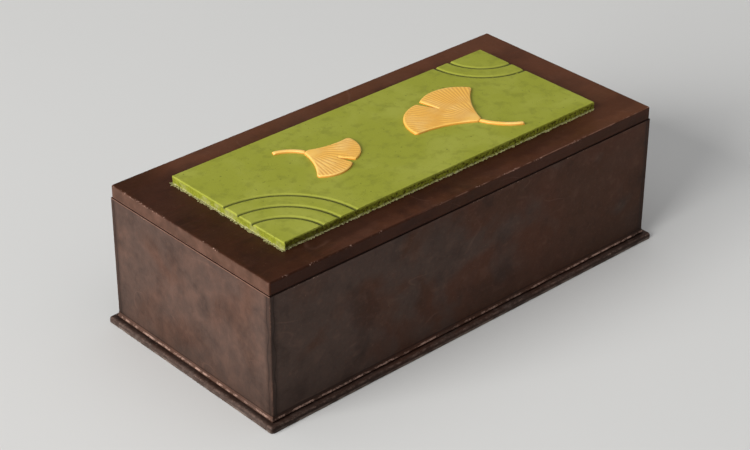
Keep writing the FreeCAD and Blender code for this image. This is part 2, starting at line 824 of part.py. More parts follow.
def make_ink_stick():
    """A pressed bar with rounded edges and a sunk upper face."""
    z = lining_top + size.bed_thickness - size.stick_seat_depth
    stick = add_board(
        "ink_stick",
        size.stick_length,
        size.stick_width,
        size.stick_thickness,
        x=stick_x,
        y=stick_y,
        z=z,
    )
    round_edges(stick, "corners", size.stick_edge_round, upright)
    face_round = limited(size.stick_face_round, size.stick_thickness)
    round_edges(
        stick,
        "faces",
        face_round,
        lambda edge: level(edge, 0) or level(edge, size.stick_thickness),
    )
    face = add_sketch(stick, "face", lift=size.stick_thickness)
    border = 2 * size.stick_border
    draw_rectangle(face, size.stick_length - border, size.stick_width - border)
    pocket(stick, face, size.stick_face_depth)


def make_water_dropper():
    """A round cup with a domed cover that has an air hole and a pouring hole."""
    cup = add_body("water_dropper_cup", dropper_x, dropper_y, lining_top)
    profile = add_sketch(cup, "profile", plane="XZ_Plane")
    outer = size.dropper_radius
    inner = outer - size.dropper_wall
    seat = inner + size.dropper_ledge
    ledge = size.dropper_height - size.cover_thickness
    corners = (
        (0, 0),
        (outer, 0),
        (outer, size.dropper_height),
        (seat, size.dropper_height),
        (seat, ledge),
        (inner, ledge),
        (inner, size.dropper_floor),
        (0, size.dropper_floor),
    )
    draw_outline(profile, corners)
    revolve(cup, profile, "V_Axis")
    foot_round = limited(size.dropper_foot_round, size.dropper_floor)
    round_edges(cup, "foot", foot_round, lambda edge: level(edge, 0))
    cover = add_body("water_dropper_cover", dropper_x, dropper_y, lining_top + ledge)
    profile = add_sketch(cover, "profile", plane="XZ_Plane")
    edge = seat - size.glue_gap
    top = size.cover_thickness + size.cover_rise
    dome = (edge * edge + size.cover_rise * size.cover_rise) / (2 * size.cover_rise)
    corners = ((0, 0), (edge, 0), (edge, size.cover_thickness), (0, top))
    draw_outline(profile, corners, {2: dome})
    revolve(cover, profile, "V_Axis")
    holes = add_sketch(cover, "holes", lift=top)
    draw_circle(holes, size.cover_hole_radius, x=size.cover_hole_reach)
    draw_circle(holes, size.cover_hole_radius, x=-size.cover_hole_reach)
    pocket(cover, holes)


def turned_piece(name, x, y, corners, arcs=None):
    """A round piece with its axis along X, from a half profile of x, radius corners."""
    body = add_body(name, x, y, brush_z)
    profile = add_sketch(body, "profile")
    draw_outline(profile, corners, arcs)
    revolve(body, profile, "H_Axis")
    return body


def make_brush(name, brush, y):
    """A brush lying along X: end cap, handle, collar and hair, from left to right."""
    shaft = brush.handle + size.glue_gap
    handle_start = brush.cap_length - size.cap_socket
    collar_start = (
        tray_inner_length
        - 2 * brush.end_gap
        - brush.hair_length
        - brush.collar_length
    )
    collar_end = collar_start + brush.collar_length
    handle_end = collar_start + size.handle_socket
    left = brush.end_gap - tray_inner_length / 2
    cap_corners = (
        (0, 0),
        (brush.cap_length, 0),
        (brush.cap_length, brush.cap),
        (0, brush.cap),
    )
    cap = turned_piece(f"{name}_cap", left, y, cap_corners)
    bore_end(cap, "socket", shaft, brush.cap_length, size.cap_socket)
    handle_corners = (
        (handle_start, 0),
        (handle_end, 0),
        (handle_end, brush.handle),
        (handle_start, brush.handle),
    )
    turned_piece(f"{name}_handle", left, y, handle_corners)
    collar_corners = (
        (collar_start, 0),
        (collar_end, 0),
        (collar_end, brush.root + size.collar_lip),
        (handle_end, brush.collar),
        (collar_start, brush.collar),
    )
    collar = turned_piece(f"{name}_collar", left, y, collar_corners)
    bore_end(collar, "handle_socket", shaft, handle_end, size.handle_socket)
    bore_end(collar, "hair_socket", brush.root + size.glue_gap, collar_end, size.hair_socket)
    hair_start = collar_end - size.hair_socket
    belly_x = collar_end + brush.hair_length / 3
    tip_x = collar_end + brush.hair_length
    hair_corners = (
        (hair_start, 0),
        (tip_x, 0),
        (tip_x, size.hair_tip_radius),
        (belly_x, brush.belly),
        (collar_end, brush.root),
        (hair_start, brush.root),
    )
    flank = brush.hair_length * 2
    turned_piece(f"{name}_hair", left, y, hair_corners, {2: flank, 3: flank})


def bore_end(body, name, radius, end, depth):
    """A round socket along X that starts at end and runs depth back towards the left."""
    sketch = add_sketch(body, name, plane="YZ_Plane", lift=end)
    draw_circle(sketch, radius)
    pocket(body, sketch, depth)


def make_brushes():
    """The large and the small brush in the front bay of the tray."""
    large = SimpleNamespace(
        end_gap=size.large_end_gap,
        handle=size.large_handle_radius,
        cap=size.large_cap_radius,
        cap_length=size.large_cap_length,
        collar=size.large_collar_radius,
        collar_length=size.large_collar_length,
        root=size.large_root_radius,
        belly=size.large_belly_radius,
        hair_length=size.large_hair_length,
    )
    small = SimpleNamespace(
        end_gap=size.small_end_gap,
        handle=size.small_handle_radius,
        cap=size.small_cap_radius,
        cap_length=size.small_cap_length,
        collar=size.small_collar_radius,
        collar_length=size.small_collar_length,
        root=size.small_root_radius,
        belly=size.small_belly_radius,
        hair_length=size.small_hair_length,
    )
    make_brush("large_brush", large, large_brush_y)
    make_brush("small_brush", small, small_brush_y)


def check_document():
    """Stop if any object or any piece's solid is faulty."""
    doc.recompute()
    for item in doc.Objects:
        if "Invalid" in item.State or "Error" in item.State:
            raise RuntimeError(f"{item.Name} failed: {item.State}")
    for piece in pieces:
        if piece.Shape.isNull() or not piece.Shape.isValid():
            raise RuntimeError(f"{piece.Label} has no valid shape")


def write_pieces():
    """One STEP file for each piece, and a line about its size."""
    os.makedirs("parts", exist_ok=True)
    for piece in pieces:
        piece.Shape.exportStep(f"parts/{piece.Label}.step")
        box = piece.Shape.BoundBox
        print(
            f"{piece.Label:22s} {piece.Shape.Volume:10.1f} mm3 "
            f"x {box.XMin:7.2f} {box.XMax:7.2f} y {box.YMin:7.2f} {box.YMax:7.2f} "
            f"z {box.ZMin:6.2f} {box.ZMax:6.2f} solids {len(piece.Shape.Solids)}"
        )


make_base()
make_walls()
make_inside()
make_bed()
make_lid()
make_panel()
make_leaves()
make_tray()
make_inkstone()
make_ink_stick()
make_water_dropper()
make_brushes()
check_document()
write_pieces()
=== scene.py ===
"""Ink box with a lift-off lid: its finishes, papered panel, carved leaves, brushes and studio.

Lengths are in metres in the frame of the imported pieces: X runs along the box, Y across it to
the back and Z up, with the origin in the middle of the underside.
"""

import math
import random

import bmesh
import bpy
import numpy as np
from mathutils import Matrix, Vector, noise
from mathutils.geometry import delaunay_2d_cdt


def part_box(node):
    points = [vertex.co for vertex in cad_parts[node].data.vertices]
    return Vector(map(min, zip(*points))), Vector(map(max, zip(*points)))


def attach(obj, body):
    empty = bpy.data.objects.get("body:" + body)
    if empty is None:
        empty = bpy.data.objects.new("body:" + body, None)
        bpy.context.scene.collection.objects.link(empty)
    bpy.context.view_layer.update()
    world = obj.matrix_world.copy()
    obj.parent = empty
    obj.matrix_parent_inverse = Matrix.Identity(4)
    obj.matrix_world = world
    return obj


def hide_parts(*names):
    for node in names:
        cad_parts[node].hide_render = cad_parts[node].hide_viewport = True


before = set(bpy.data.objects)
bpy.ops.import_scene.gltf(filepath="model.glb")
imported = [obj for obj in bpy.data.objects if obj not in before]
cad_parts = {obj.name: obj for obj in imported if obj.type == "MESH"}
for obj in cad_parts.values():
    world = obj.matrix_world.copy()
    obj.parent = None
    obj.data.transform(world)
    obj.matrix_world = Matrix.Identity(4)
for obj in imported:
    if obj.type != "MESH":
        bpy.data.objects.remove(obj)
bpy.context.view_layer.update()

bl_info = {
    "name": "Ink Box",
    "version": (1, 0, 0),
    "blender": (4, 5, 0),
    "location": "View3D > Sidebar > Ink Box",
    "description": "Finishes and loose fittings of a papered ink box with a lift-off lid",
    "category": "Add Mesh",
}

MM = 0.001
FINE = 1e-6
NOWHERE = (900, 901)
BELOW_ALL = (-2, -3)
SENSOR_WIDTH = 36.0
KEY_PLACE = (-4.1, 0.0, 1.8)
FILL_PLACE = (0.4, -2.2, 1.5)
LAMP_AIM = (0.0, 0.0, 0.04)
FLOOR_SIDES = 96


def shown_colour(code):
    """A colour as the shaders take it, from the six-digit code of how it looks."""
    shares = [int(code[place : place + 2], 16) / 255 for place in (1, 3, 5)]
    return tuple(s / 12.92 if s <= 0.04045 else ((s + 0.055) / 1.055) ** 2.4 for s in shares)


def paint(name, description, code):
    return bpy.props.FloatVectorProperty(
        name=name,
        description=description,
        subtype="COLOR",
        size=3,
        min=0.0,
        max=1.0,
        default=shown_colour(code),
    )


def length(name, description, millimetres):
    return bpy.props.FloatProperty(
        name=name,
        description=description,
        subtype="DISTANCE",
        unit="LENGTH",
        min=0.0,
        precision=5,
        default=millimetres * MM,
    )


def angle(name, description, degrees):
    return bpy.props.FloatProperty(
        name=name,
        description=description,
        subtype="ANGLE",
        unit="ROTATION",
        default=math.radians(degrees),
    )


def count(name, description, value):
    return bpy.props.IntProperty(name=name, description=description, min=1, default=value)


def amount(name, description, value):
    return bpy.props.FloatProperty(name=name, description=description, min=0.0, default=value)


class InkBoxColours(bpy.types.PropertyGroup):
    """Colours of the finishes"""

    lacquer: paint("Lacquer", "Lacquered boards, main tone", "#43291B")
    lid_lacquer: paint("Lid lacquer", "Lid, main tone", "#42250F")
    lacquer_red: paint("Lacquer, red", "Redder clouds in the lacquer", "#502C1D")
    # Also the grey painted sheen on the end faces.
    lacquer_grey_and_sheen: paint("Lacquer, grey", "Greyer clouds in the lacquer", "#473A34")
    # Also the tone of painted shade on front-facing sides and towards the foot.
    lacquer_dark_and_shade: paint("Lacquer, deep", "The darkest clouds", "#1E130E")
    # Also the painted sheen on the end faces and the pale painted highlight in the seam there.
    lacquer_worn_and_sheen: paint("Lacquer, worn", "Edges where the lacquer has rubbed thin", "#8A6555")
    lacquer_chip: paint("Lacquer, chipped", "Flecks of bare paper along the edges", "#CBA695")
    plinth_lacquer: paint("Plinth lacquer", "Plinth, main tone", "#3E2E27")
    # Painted shade on the lid's front side and on its top beside the panel.
    lid_shade: paint("Lid, deep", "The darkest parts of the lid", "#280F04")
    # A lighter reddish painted sheen on the lid's top towards the right and back.
    lid_sheen: paint("Lid, handled", "Where hands have rubbed the lid's top", "#8C573C")
    bare_board: paint("Bare board", "Board showing along the plinth's foot", "#85766C")
    # Painted shade in the grooves and the seam.
    crevice_shade: paint("Crevice", "Grime in the grooves and the seam", "#160804")
    inner_paper: paint("Inner paper", "Inner faces of the box", "#5A2A1C")
    panel: paint("Panel", "Raised panel, main tone", "#94982C")
    panel_light: paint("Panel, light", "Paler clouds and the worn rim of the panel", "#A0A340")
    panel_dark: paint("Panel, dark", "Darker clouds in the panel", "#747820")
    # Dark flecks, and painted shade in the incised cuts.
    panel_fleck_and_cut_shade: paint("Panel cut", "Bottom of the cuts in the panel", "#3E420C")
    # Painted shade on the panel's front side.
    panel_side_shade: paint("Panel edge", "Side of the panel, between its fibres", "#463D03")
    panel_fray: paint("Panel fray", "Bare fibres along the panel's foot", "#B9B488")
    relief: paint("Relief", "Leaves and stalks, main tone", "#FCC45A")
    # Dark flecks, darker veins, and painted shade on the leaves' sides.
    relief_dark_and_shade: paint("Relief, deep", "Veins and lower edges of the leaves", "#D07E1E")
    relief_pale: paint("Relief, pale", "Rubbed tops of the leaves", "#FFD27A")
    tray_wood: paint("Tray wood", "Tray boards, between the grain", "#6E4228")
    tray_grain: paint("Tray grain", "Grain of the tray boards", "#3C2013")
    inner_wood: paint("Inner wood", "Bed, floor and rest boards", "#7A5236")
    inner_grain: paint("Inner grain", "Grain of the inner boards", "#4A2C1B")
    felt: paint("Felt", "Felt on the floor", "#5C1A16")
    lining: paint("Lining", "Papered board under the lid", "#B9A47C")
    lining_fibre: paint("Lining fibre", "Fibres in the lining paper", "#8C7450")
    slate: paint("Slate", "Inkstone", "#2A2B30")
    slate_dust: paint("Slate, dusty", "Lighter beds and rubbed edges of the stone", "#5A5C62")
    ink: paint("Ink", "Pressed ink stick", "#17161A")
    glaze: paint("Glaze", "Water dropper", "#C3CFC2")
    glaze_pool: paint("Glaze, pooled", "Glaze where it lies thick", "#8FA896")
    bamboo: paint("Bamboo", "Brush handles", "#C99A52")
    bamboo_dark: paint("Bamboo, dark", "Rings and flecks of the bamboo", "#7B4E22")
    horn: paint("Horn", "Caps and collars of the brushes", "#1E1512")
    horn_light: paint("Horn, light", "Streaks in the horn", "#6B4A32")
    hair: paint("Hair", "Brush hair", "#D9C7A0")
    hair_tip: paint("Hair tip", "Ends of the brush hair", "#A8875A")
    floor: paint("Floor", "Studio floor", "#D8D7D4")
    horizon: paint("Horizon", "Air behind the floor", "#D6D5D2")
    air: paint("Air", "Air above the horizon", "#5E5F62")
    overhead: paint("Overhead", "Bright air overhead", "#E1E2E4")


class InkBoxSizes(bpy.types.PropertyGroup):
    """Sizes of what is made here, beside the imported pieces"""

    moulding_pitch: length("Moulding pitch", "Spacing of the base mouldings' mesh", 1.2)
    moulding_wave: length("Moulding wave", "How uneven the base mouldings are", 0.2)
    plinth_corner: length("Plinth corner", "Rounding of the plinth's upright corners", 1.9)
    step_corner: length("Step corner", "Rounding of the step's upright corners", 1.0)
    groove_depth: length("Groove depth", "How far the groove lies below the plinth's crown", 0.35)
    bead_radius: length("Bead radius", "Bead along the step", 0.5)
    bead_height: length("Bead height", "Middle of the bead above the step's underside", 0.9)
    panel_grid: length("Panel grid", "Spacing of the panel's mesh", 0.45)
    panel_round: length("Panel edge", "Rounding of the panel's upper edge", 0.6)
    panel_corner: length("Panel corner", "Rounding of the panel's upright corners", 1.6)
    panel_wave: length("Panel wave", "How uneven the panel's top is", 0.09)
    panel_fray: length("Panel fray", "How deep the fibres of the panel's side go", 0.35)
    panel_fringe: length("Panel fringe", "How far torn paper spreads on the lid at the left end", 2.2)
    panel_fringe_short: length("Short panel fringe", "The same along the other sides", 1.4)
    panel_fringe_height: length("Fringe height", "Thickness of that torn paper", 0.16)
    ripple_radius: length("First ripple", "Innermost incised arc", 25.0)
    ripple_pitch: length("Ripple pitch", "From one arc to the next", 11.0)
    ripple_width: length("Ripple width", "Width of an incised arc with its soft shoulders", 3.6)
    ripple_depth: length("Ripple depth", "Depth of an incised arc", 0.8)
    front_ripples: count("Front ripples", "Arcs about the front left corner", 3)
    back_ripples: count("Back ripples", "Arcs about the back right corner", 2)
    leaf_grid: length("Leaf grid", "Spacing of a leaf's mesh", 0.55)
    leaf_round: length("Leaf edge", "Rounding of the upper edge of leaves and stalks", 0.7)
    leaf_crown: length("Leaf crown", "How far the middle of a leaf stands over its rim", 0.16)
    leaf_bed: length("Leaf bed", "How far the leaves are bedded in the paper", 0.12)
    vein_depth: length("Vein depth", "Depth of the veins", 0.13)
    vein_spread: angle("Vein spread", "Angle from one vein of the large leaf to the next", 6.4)
    vein_start: length("Vein start", "Distance from the foot where veins begin", 5.0)
    vein_full: length("Vein full depth", "Distance from the foot where veins are full", 13.0)
    large_leaf_from_right: length("Large leaf from right", "Panel's edge to its foot", 62.0)
    large_leaf_from_front: length("Large leaf from front", "Panel's edge to its foot", 27.0)
    large_leaf_turn: angle("Large leaf turn", "Turn about Z", 18.0)
    small_leaf_from_left: length("Small leaf from left", "Panel's edge to its foot", 66.0)
    small_leaf_from_front: length("Small leaf from front", "Panel's edge to its foot", 62.0)
    small_leaf_turn: angle("Small leaf turn", "Turn about Z", 208.0)
    horn_round: length("Horn edge", "Rounded edges of caps and collars", 0.7)
    strand_width: length("Strand width", "A strand of the brush hair at its root", 0.42)
    large_strands: count("Large brush strands", "Strands that are modelled", 340)
    small_strands: count("Small brush strands", "Strands that are modelled", 220)


class InkBoxStudio(bpy.types.PropertyGroup):
    """Camera, lamps and floor"""

    focal_length: amount("Focal length", "In millimetres, on a sensor 36 mm wide", 97.49)
    camera_turn: angle("Camera turn", "About Z, from looking along Y", -42.31)
    camera_rise: angle("Camera rise", "Above the floor", 30.724)
    camera_roll: angle("Camera roll", "About its own axis", 0.199)
    camera_distance: length("Camera distance", "From the origin", 1114.105)
    camera_across: bpy.props.FloatProperty(
        name="Camera across",
        description="To the camera's right",
        unit="LENGTH",
        default=-7.716 * MM,
    )
    camera_up: length("Camera up", "Along the camera's upright", 29.215)
    floor_radius: length("Floor radius", "Half the floor's width", 9000.0)
    key_power: amount("Key power", "Large soft lamp on the left, in watts", 268.0)
    key_size: length("Key size", "Width of that lamp", 3400.0)
    fill_power: amount("Fill power", "Weak lamp in front, in watts", 1.5)
    fill_size: length("Fill size", "Width of that lamp", 1500.0)


class Finish:
    """The node tree of one finish, put together from short calls over a ground colour."""

    def __init__(self, name, ground):
        self.material = bpy.data.materials.new(name)
        self.material.use_nodes = True
        self.tree = self.material.node_tree
        self.shader = self.tree.nodes["Principled BSDF"]
        coordinates = self.add("ShaderNodeTexCoord")
        self.place = coordinates.outputs["Object"]
        self.x, self.y, self.z = self.parts(self.place)
        self.facing = self.parts(coordinates.outputs["Normal"])
        self.colour = ground
        self.normal = None

    def add(self, kind, **settings):
        node = self.tree.nodes.new(kind)
        for name, value in settings.items():
            setattr(node, name, value)
        return node

    def feed(self, socket, value):
        """Link another node's output to a socket, or set the socket to a plain value."""
        if isinstance(value, bpy.types.NodeSocket):
            self.tree.links.new(value, socket)
        elif socket.type == "RGBA":
            socket.default_value = (*value[:3], 1.0)
        else:
            socket.default_value = value

    def maths(self, operation, *values, kind="Math"):
        """A sum on numbers, or on vectors with VectorMath as its kind."""
        node = self.add(f"ShaderNode{kind}", operation=operation)
        for socket, value in zip(node.inputs, values):
            self.feed(socket, value)
        return node.outputs[0]

    def plus(self, first, second):
        return self.maths("ADD", first, second)

    def minus(self, first, second):
        return self.maths("SUBTRACT", first, second)

    def times(self, first, second):
        return self.maths("MULTIPLY", first, second)

    def larger(self, first, second):
        return self.maths("MAXIMUM", first, second)

    def smaller(self, first, second):
        return self.maths("MINIMUM", first, second)

    def size_of(self, value):
        return self.maths("ABSOLUTE", value)

    def parts(self, vector):
        node = self.add("ShaderNodeSeparateXYZ")
        self.feed(node.inputs[0], vector)
        return node.outputs

    def step(self, value, low, high, out_low=0.0, out_high=1.0):
        """Smoothly from out_low where value is low to out_high where it is high."""
        node = self.add("ShaderNodeMapRange", interpolation_type="SMOOTHSTEP")
        bounds = (value, low, high, out_low, out_high)
        for name, bound in zip(("Value", "From Min", "From Max", "To Min", "To Max"), bounds):
            self.feed(node.inputs[name], bound)
        return node.outputs["Result"]

    def mix(self, share, first, second):
        """From the first colour to the second, by how large share is."""
        node = self.add("ShaderNodeMix", data_type="RGBA")
        for place, value in ((0, share), (6, first), (7, second)):
            self.feed(node.inputs[place], value)
        return node.outputs[2]

    def tint(self, tone, share):
        """Put a tone over the colour so far, by share."""
        self.colour = self.mix(share, self.colour, tone)

    def lay(self, tone, value, clear, full, share=1.0):
        """Put a tone over the colour: none of it where value is at clear, and share at full."""
        self.tint(tone, self.step(value, clear, full, 0.0, share))

    def scaled(self, blotch, stretch, seed):
        """Coordinates in which a blotch of that size is one unit wide."""
        node = self.add("ShaderNodeMapping")
        self.feed(node.inputs["Vector"], self.place)
        node.inputs["Scale"].default_value = [1 / (blotch * MM * s) for s in stretch]
        node.inputs["Location"].default_value = (seed * 3.7, seed * 5.3, seed * 7.1)
        return node.outputs["Vector"]

    def cloud(self, blotch, detail=3.0, rough=0.5, warp=0.0, stretch=(1, 1, 1), seed=0.0):
        """Cloudy values about 0.5. blotch is in millimetres; stretch draws it out."""
        node = self.add("ShaderNodeTexNoise")
        self.feed(node.inputs["Vector"], self.scaled(blotch, stretch, seed))
        for name, value in (("Scale", 1.0), ("Detail", detail), ("Roughness", rough), ("Distortion", warp)):
            self.feed(node.inputs[name], value)
        return node.outputs["Fac"]

    def cracks(self, spacing, seed):
        """How far a point lies from the nearest of a net of cracks."""
        node = self.add("ShaderNodeTexVoronoi", feature="DISTANCE_TO_EDGE")
        self.feed(node.inputs["Vector"], self.scaled(spacing, (1, 1, 1), seed))
        self.feed(node.inputs["Scale"], 1.0)
        return node.outputs["Distance"]

    def fibres(self, spacing, width=0.02, seed=0.0, stretch=(1, 1, 1), warp=1.2):
        """Thin curling lines, as of long fibres pressed into paper."""
        value = self.cloud(spacing, detail=1.5, rough=0.45, warp=warp, seed=seed, stretch=stretch)
        return self.step(self.size_of(self.minus(value, 0.5)), width, 0.0)

    def inside(self, low, high):
        """How far inside the box from low to high a point lies, along X, Y and Z."""
        offset = self.maths("SUBTRACT", self.place, (low + high) / 2, kind="VectorMath")
        offset = self.maths("ABSOLUTE", offset, kind="VectorMath")
        return self.parts(self.maths("SUBTRACT", (high - low) / 2, offset, kind="VectorMath"))

    def marks(self):
        """What a piece's own mesh says of its cuts, rings and worn lines, from 0 to 1."""
        node = self.add("ShaderNodeAttribute", attribute_type="GEOMETRY", attribute_name="cut")
        return node.outputs["Fac"]

    def bump(self, height, depth):
        """Raise the surface by height times depth, which is in millimetres."""
        node = self.add("ShaderNodeBump")
        node.inputs["Strength"].default_value = 1.0
        node.inputs["Distance"].default_value = depth * MM
        self.feed(node.inputs["Height"], height)
        if self.normal is not None:
            self.feed(node.inputs["Normal"], self.normal)
        self.normal = node.outputs["Normal"]

    def done(self, roughness, **constants):
        """Join the tree to the shader. constants are plain values for its other sockets."""
        self.feed(self.shader.inputs["Base Color"], self.colour)
        self.feed(self.shader.inputs["Roughness"], roughness)
        if self.normal is not None:
            self.feed(self.shader.inputs["Normal"], self.normal)
        for name, value in constants.items():
            self.feed(self.shader.inputs[name.replace("_", " ").title().replace("Ior", "IOR")], value)
        return self.material


class Look:
    """How one lacquered piece differs from the others.

    Most values are shares from 0 to 1. ledge, foot and seam are where painted shade starts and where it is
    full, in millimetres: ledge from the sides inwards, foot and seam above the floor. In the seam on the
    end faces a pale painted highlight takes the shade's place.
    """

    seed = 1.3
    red = 0.6
    grey = 0.4
    grey_run = 0.0
    stain = 0.5
    strokes = 0.2
    grain = 1.0
    bloom = 0.06
    # Shares of painted shade on front-facing sides, of a grey painted sheen on the end faces, of painted
    # shade on the lid's top beside the panel and of a painted sheen on the lid's top; then the height below
    # which the lacquer darkens towards the foot.
    front = 0.0
    end = 0.0
    panel_shade = 0.0
    painted_sheen = 0.0
    foot_darkening = 0.01 * MM
    streak = (1, 1, 1)
    lap = 0.0
    reach = 1.0
    wear = 0.5
    corner_wear = 0.1
    chips = 0.4
    line = 0.0
    bare_foot = 0.0
    bead = 0.0
    # Share of painted shade in the ledge and at the foot.
    shade_share = 0.7
    ledge = NOWHERE
    foot = BELOW_ALL
    seam = NOWHERE

    # deep is the tone of painted shade; worn is that of rubbed edges and also of painted sheen and
    # highlight.
    def __init__(self, base, deep, worn, **changes):
        self.base = base
        self.deep = deep
        self.worn = worn
        for name, value in changes.items():
            setattr(self, name, value)


def lacquer_ground(make, colours, look):
    """Cloudy lacquer, with stains, a pale bloom, brush strokes, a fine grain, and a grey painted sheen on
    the end faces.

    Gives back its clouds of middle size, because the gloss follows them too.
    """
    broad = make.cloud(60, detail=4.0, warp=0.3, seed=look.seed)
    middle = make.cloud(34, detail=4.0, warp=0.4, seed=look.seed + 2.8)
    stained = make.cloud(24, detail=5.0, rough=0.55, warp=0.3, seed=look.seed + 4.6)
    mottled = make.cloud(9, detail=5.0, rough=0.55, warp=0.25, seed=look.seed + 6.4)
    strokes = make.cloud(1.9, detail=4.0, rough=0.6, stretch=look.streak, seed=2.9)
    grain = make.cloud(2.4, detail=5.0, rough=0.7, seed=look.seed + 8.2)
    make.lay(colours.lacquer_red, broad, 0.38, 0.60, look.red)
    greyer = make.plus(middle, make.times(make.x, look.grey_run))
    make.lay(colours.lacquer_grey_and_sheen, greyer, 0.42, 0.64, look.grey)
    make.lay(colours.lacquer_dark_and_shade, stained, 0.50, 0.30, look.stain)
    make.lay(colours.lacquer_red, strokes, 0.50, 0.72, look.strokes)
    # Painted sheen: the end faces turn greyer and carry pale patches.
    end = make.step(make.size_of(make.facing[0]), 0.4, 0.9)
    make.tint(colours.lacquer_grey_and_sheen, make.times(end, 0.35))
    bloom = make.step(mottled, 0.40, 0.66, look.end * 0.6, look.end * 1.4)
    make.tint(look.worn, make.times(bloom, end))
    make.lay(look.worn, mottled, 0.54, 0.72, look.bloom)
    make.lay(colours.lacquer_dark_and_shade, mottled, 0.46, 0.28, 0.25)
    make.lay(look.worn, grain, 0.52, 0.72, 0.08 * look.grain)
    make.lay(colours.lacquer_dark_and_shade, grain, 0.48, 0.30, 0.14 * look.grain)
    return middle


def lacquer_shade(make, colours, low, look):
    """Paint shade on front-facing sides and on the lid's top beside the panel, darken towards the foot, and
    paint a reddish sheen on the lid's top towards the right and back.
    """
    # Darker towards the bottom, up to the given height.
    make.lay(colours.lacquer_dark_and_shade, make.z, look.foot_darkening, 0.0, 0.38)
    # Painted shade: front-facing sides darker, more so on the left half.
    left_half = make.step(make.x, 20 * MM, low.x, 0.6, 1.0)
    front = make.step(make.facing[1], -0.1, -0.8, 0.0, look.front)
    make.tint(look.deep, make.times(front, left_half))
    # Painted shade on the lid's top beside the panel's left end and front.
    top = make.step(make.facing[2], 0.5, 0.9)
    panel_low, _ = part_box("lid_panel")
    wander = make.times(make.minus(make.cloud(9, seed=23.0), 0.5), 12 * MM)
    x = make.plus(make.x, wander)
    y = make.plus(make.y, wander)
    left = make.step(x, panel_low.x + 18 * MM, panel_low.x - 4 * MM, 0.0, 0.8)
    near = make.step(y, panel_low.y + 8 * MM, panel_low.y)
    near = make.times(near, make.step(y, low.y + 4 * MM, panel_low.y - 6 * MM))
    panel_shade = make.times(make.larger(left, near), top)
    make.tint(look.deep, make.times(panel_shade, look.panel_shade))
    # Painted sheen: a lighter reddish tone on the lid's top towards the right and the back.
    right = make.step(x, 60 * MM, 120 * MM)
    back = make.times(make.step(y, 40 * MM, 60 * MM), make.step(make.x, -128 * MM, -90 * MM))
    painted_sheen = make.times(make.larger(right, back), top)
    make.tint(colours.lid_sheen, make.times(painted_sheen, look.painted_sheen))


def lacquer_wear(make, colours, inset, look):
    """Laps of paper, rubbed edges, chips and a worn bead. inset is how far inside the sides.

    Gives back the laps, which stand a little proud.
    """
    side = make.smaller(inset[0], inset[1])
    corner = make.larger(inset[0], inset[1])
    arris = make.larger(side, inset[2])
    fleck = make.cloud(0.8, detail=1.0, seed=5.5)
    make.lay(look.worn, fleck, 0.76, 0.80, 0.25)
    ragged = make.times(make.cloud(1.8, detail=4.0, rough=0.7, seed=8.8), 2.0 * MM)
    patchy = make.step(make.cloud(9, rough=0.6, seed=6.2), 0.40, 0.60, 0.1, 1.0)
    wobble = make.times(make.cloud(14, detail=2.0, seed=19.0), 5.0 * MM)
    lap = make.step(make.size_of(make.minus(corner, wobble)), 0.5 * MM, 0.15 * MM, 0.0, look.lap)
    make.tint(colours.lacquer_dark_and_shade, lap)
    make.lay(colours.lacquer_dark_and_shade, make.plus(corner, ragged), 6.5 * MM, 3.0 * MM, look.lap)
    for edge, wear in ((arris, look.wear), (corner, look.corner_wear)):
        reach = make.plus(edge, ragged)
        rubbed = make.step(reach, look.reach * 1.75 * MM, look.reach * MM, 0.0, wear)
        make.tint(look.worn, make.times(rubbed, patchy))
    # A thin line along the top arris, darker towards the left and paler towards the right.
    line_tone = make.mix(make.step(make.x, -60 * MM, 20 * MM), look.deep, look.worn)
    line = make.step(arris, 0.7 * MM, 0.3 * MM, 0.0, look.line)
    make.tint(line_tone, make.times(line, patchy))
    bare_foot = make.step(make.z, 1.9 * MM, 1.2 * MM, 0.0, look.bare_foot)
    make.tint(colours.bare_board, make.times(bare_foot, patchy))
    here = make.step(make.cloud(16, detail=2.0, seed=17.0), 0.52, 0.60)
    chips = make.times(make.step(fleck, 0.58, 0.64), here)
    chips = make.times(chips, make.step(arris, 1.1 * MM, 0.3 * MM))
    make.tint(colours.lacquer_chip, make.times(chips, look.chips))
    broken = make.step(make.cloud(6, detail=5.0, rough=0.85, seed=24.0), 0.46, 0.60, 0.05, 1.0)
    bead = make.times(make.step(make.marks(), 0.3, 0.9), broken)
    share = make.step(make.size_of(make.facing[0]), 0.3, 0.9, look.bead * 0.9, look.bead)
    make.tint(colours.lacquer_chip, make.times(bead, share))
    return lap


def lacquered(name, colours, low, high, look):
    """Dark lacquer over paper on a board, worn along the edges of the box from low to high."""
    make = Finish(name, look.base)
    sides = make.inside(low, high)
    inset = (sides[0], sides[1], make.minus(high.z, make.z))
    middle = lacquer_ground(make, colours, look)
    lacquer_shade(make, colours, low, look)
    sparse = make.step(make.cloud(20, detail=2.0, seed=12.0), 0.50, 0.62)
    scratch = make.times(make.fibres(30, 0.006, seed=3.3, stretch=(2.5, 2.5, 1), warp=0.3), sparse)
    make.tint(look.worn, make.times(scratch, 0.10))
    lap = lacquer_wear(make, colours, inset, look)
    # Painted shade in the ledge, at the foot and in the seam; in the seam on the end faces a pale painted
    # highlight instead.
    end = make.size_of(make.facing[0])
    seam_shade_and_highlight = make.mix(make.step(end, 0.3, 0.9), colours.crevice_shade, look.worn)
    seam_share = make.step(end, 0.3, 0.9, 0.92, 0.6)
    crevices = (
        (make.smaller(inset[0], inset[1]), look.ledge, look.shade_share, colours.crevice_shade),
        (make.z, look.foot, look.shade_share, colours.crevice_shade),
        (make.z, look.seam, seam_share, seam_shade_and_highlight),
    )
    for value, (clear, full), share, tone in crevices:
        make.lay(tone, value, clear * MM, full * MM, share)
    make.bump(make.cloud(36, detail=1.5, seed=14.0), 0.35)
    make.bump(make.cloud(5.5, detail=5.0, rough=0.6, warp=0.8, seed=10.0), 0.12)
    make.bump(make.cloud(0.9, rough=0.6, stretch=look.streak, seed=11.0), 0.03)
    make.bump(scratch, 0.03)
    make.bump(lap, -0.05)
    return make.done(make.step(middle, 0.3, 0.7, 0.42, 0.58), specular_ior_level=0.1)


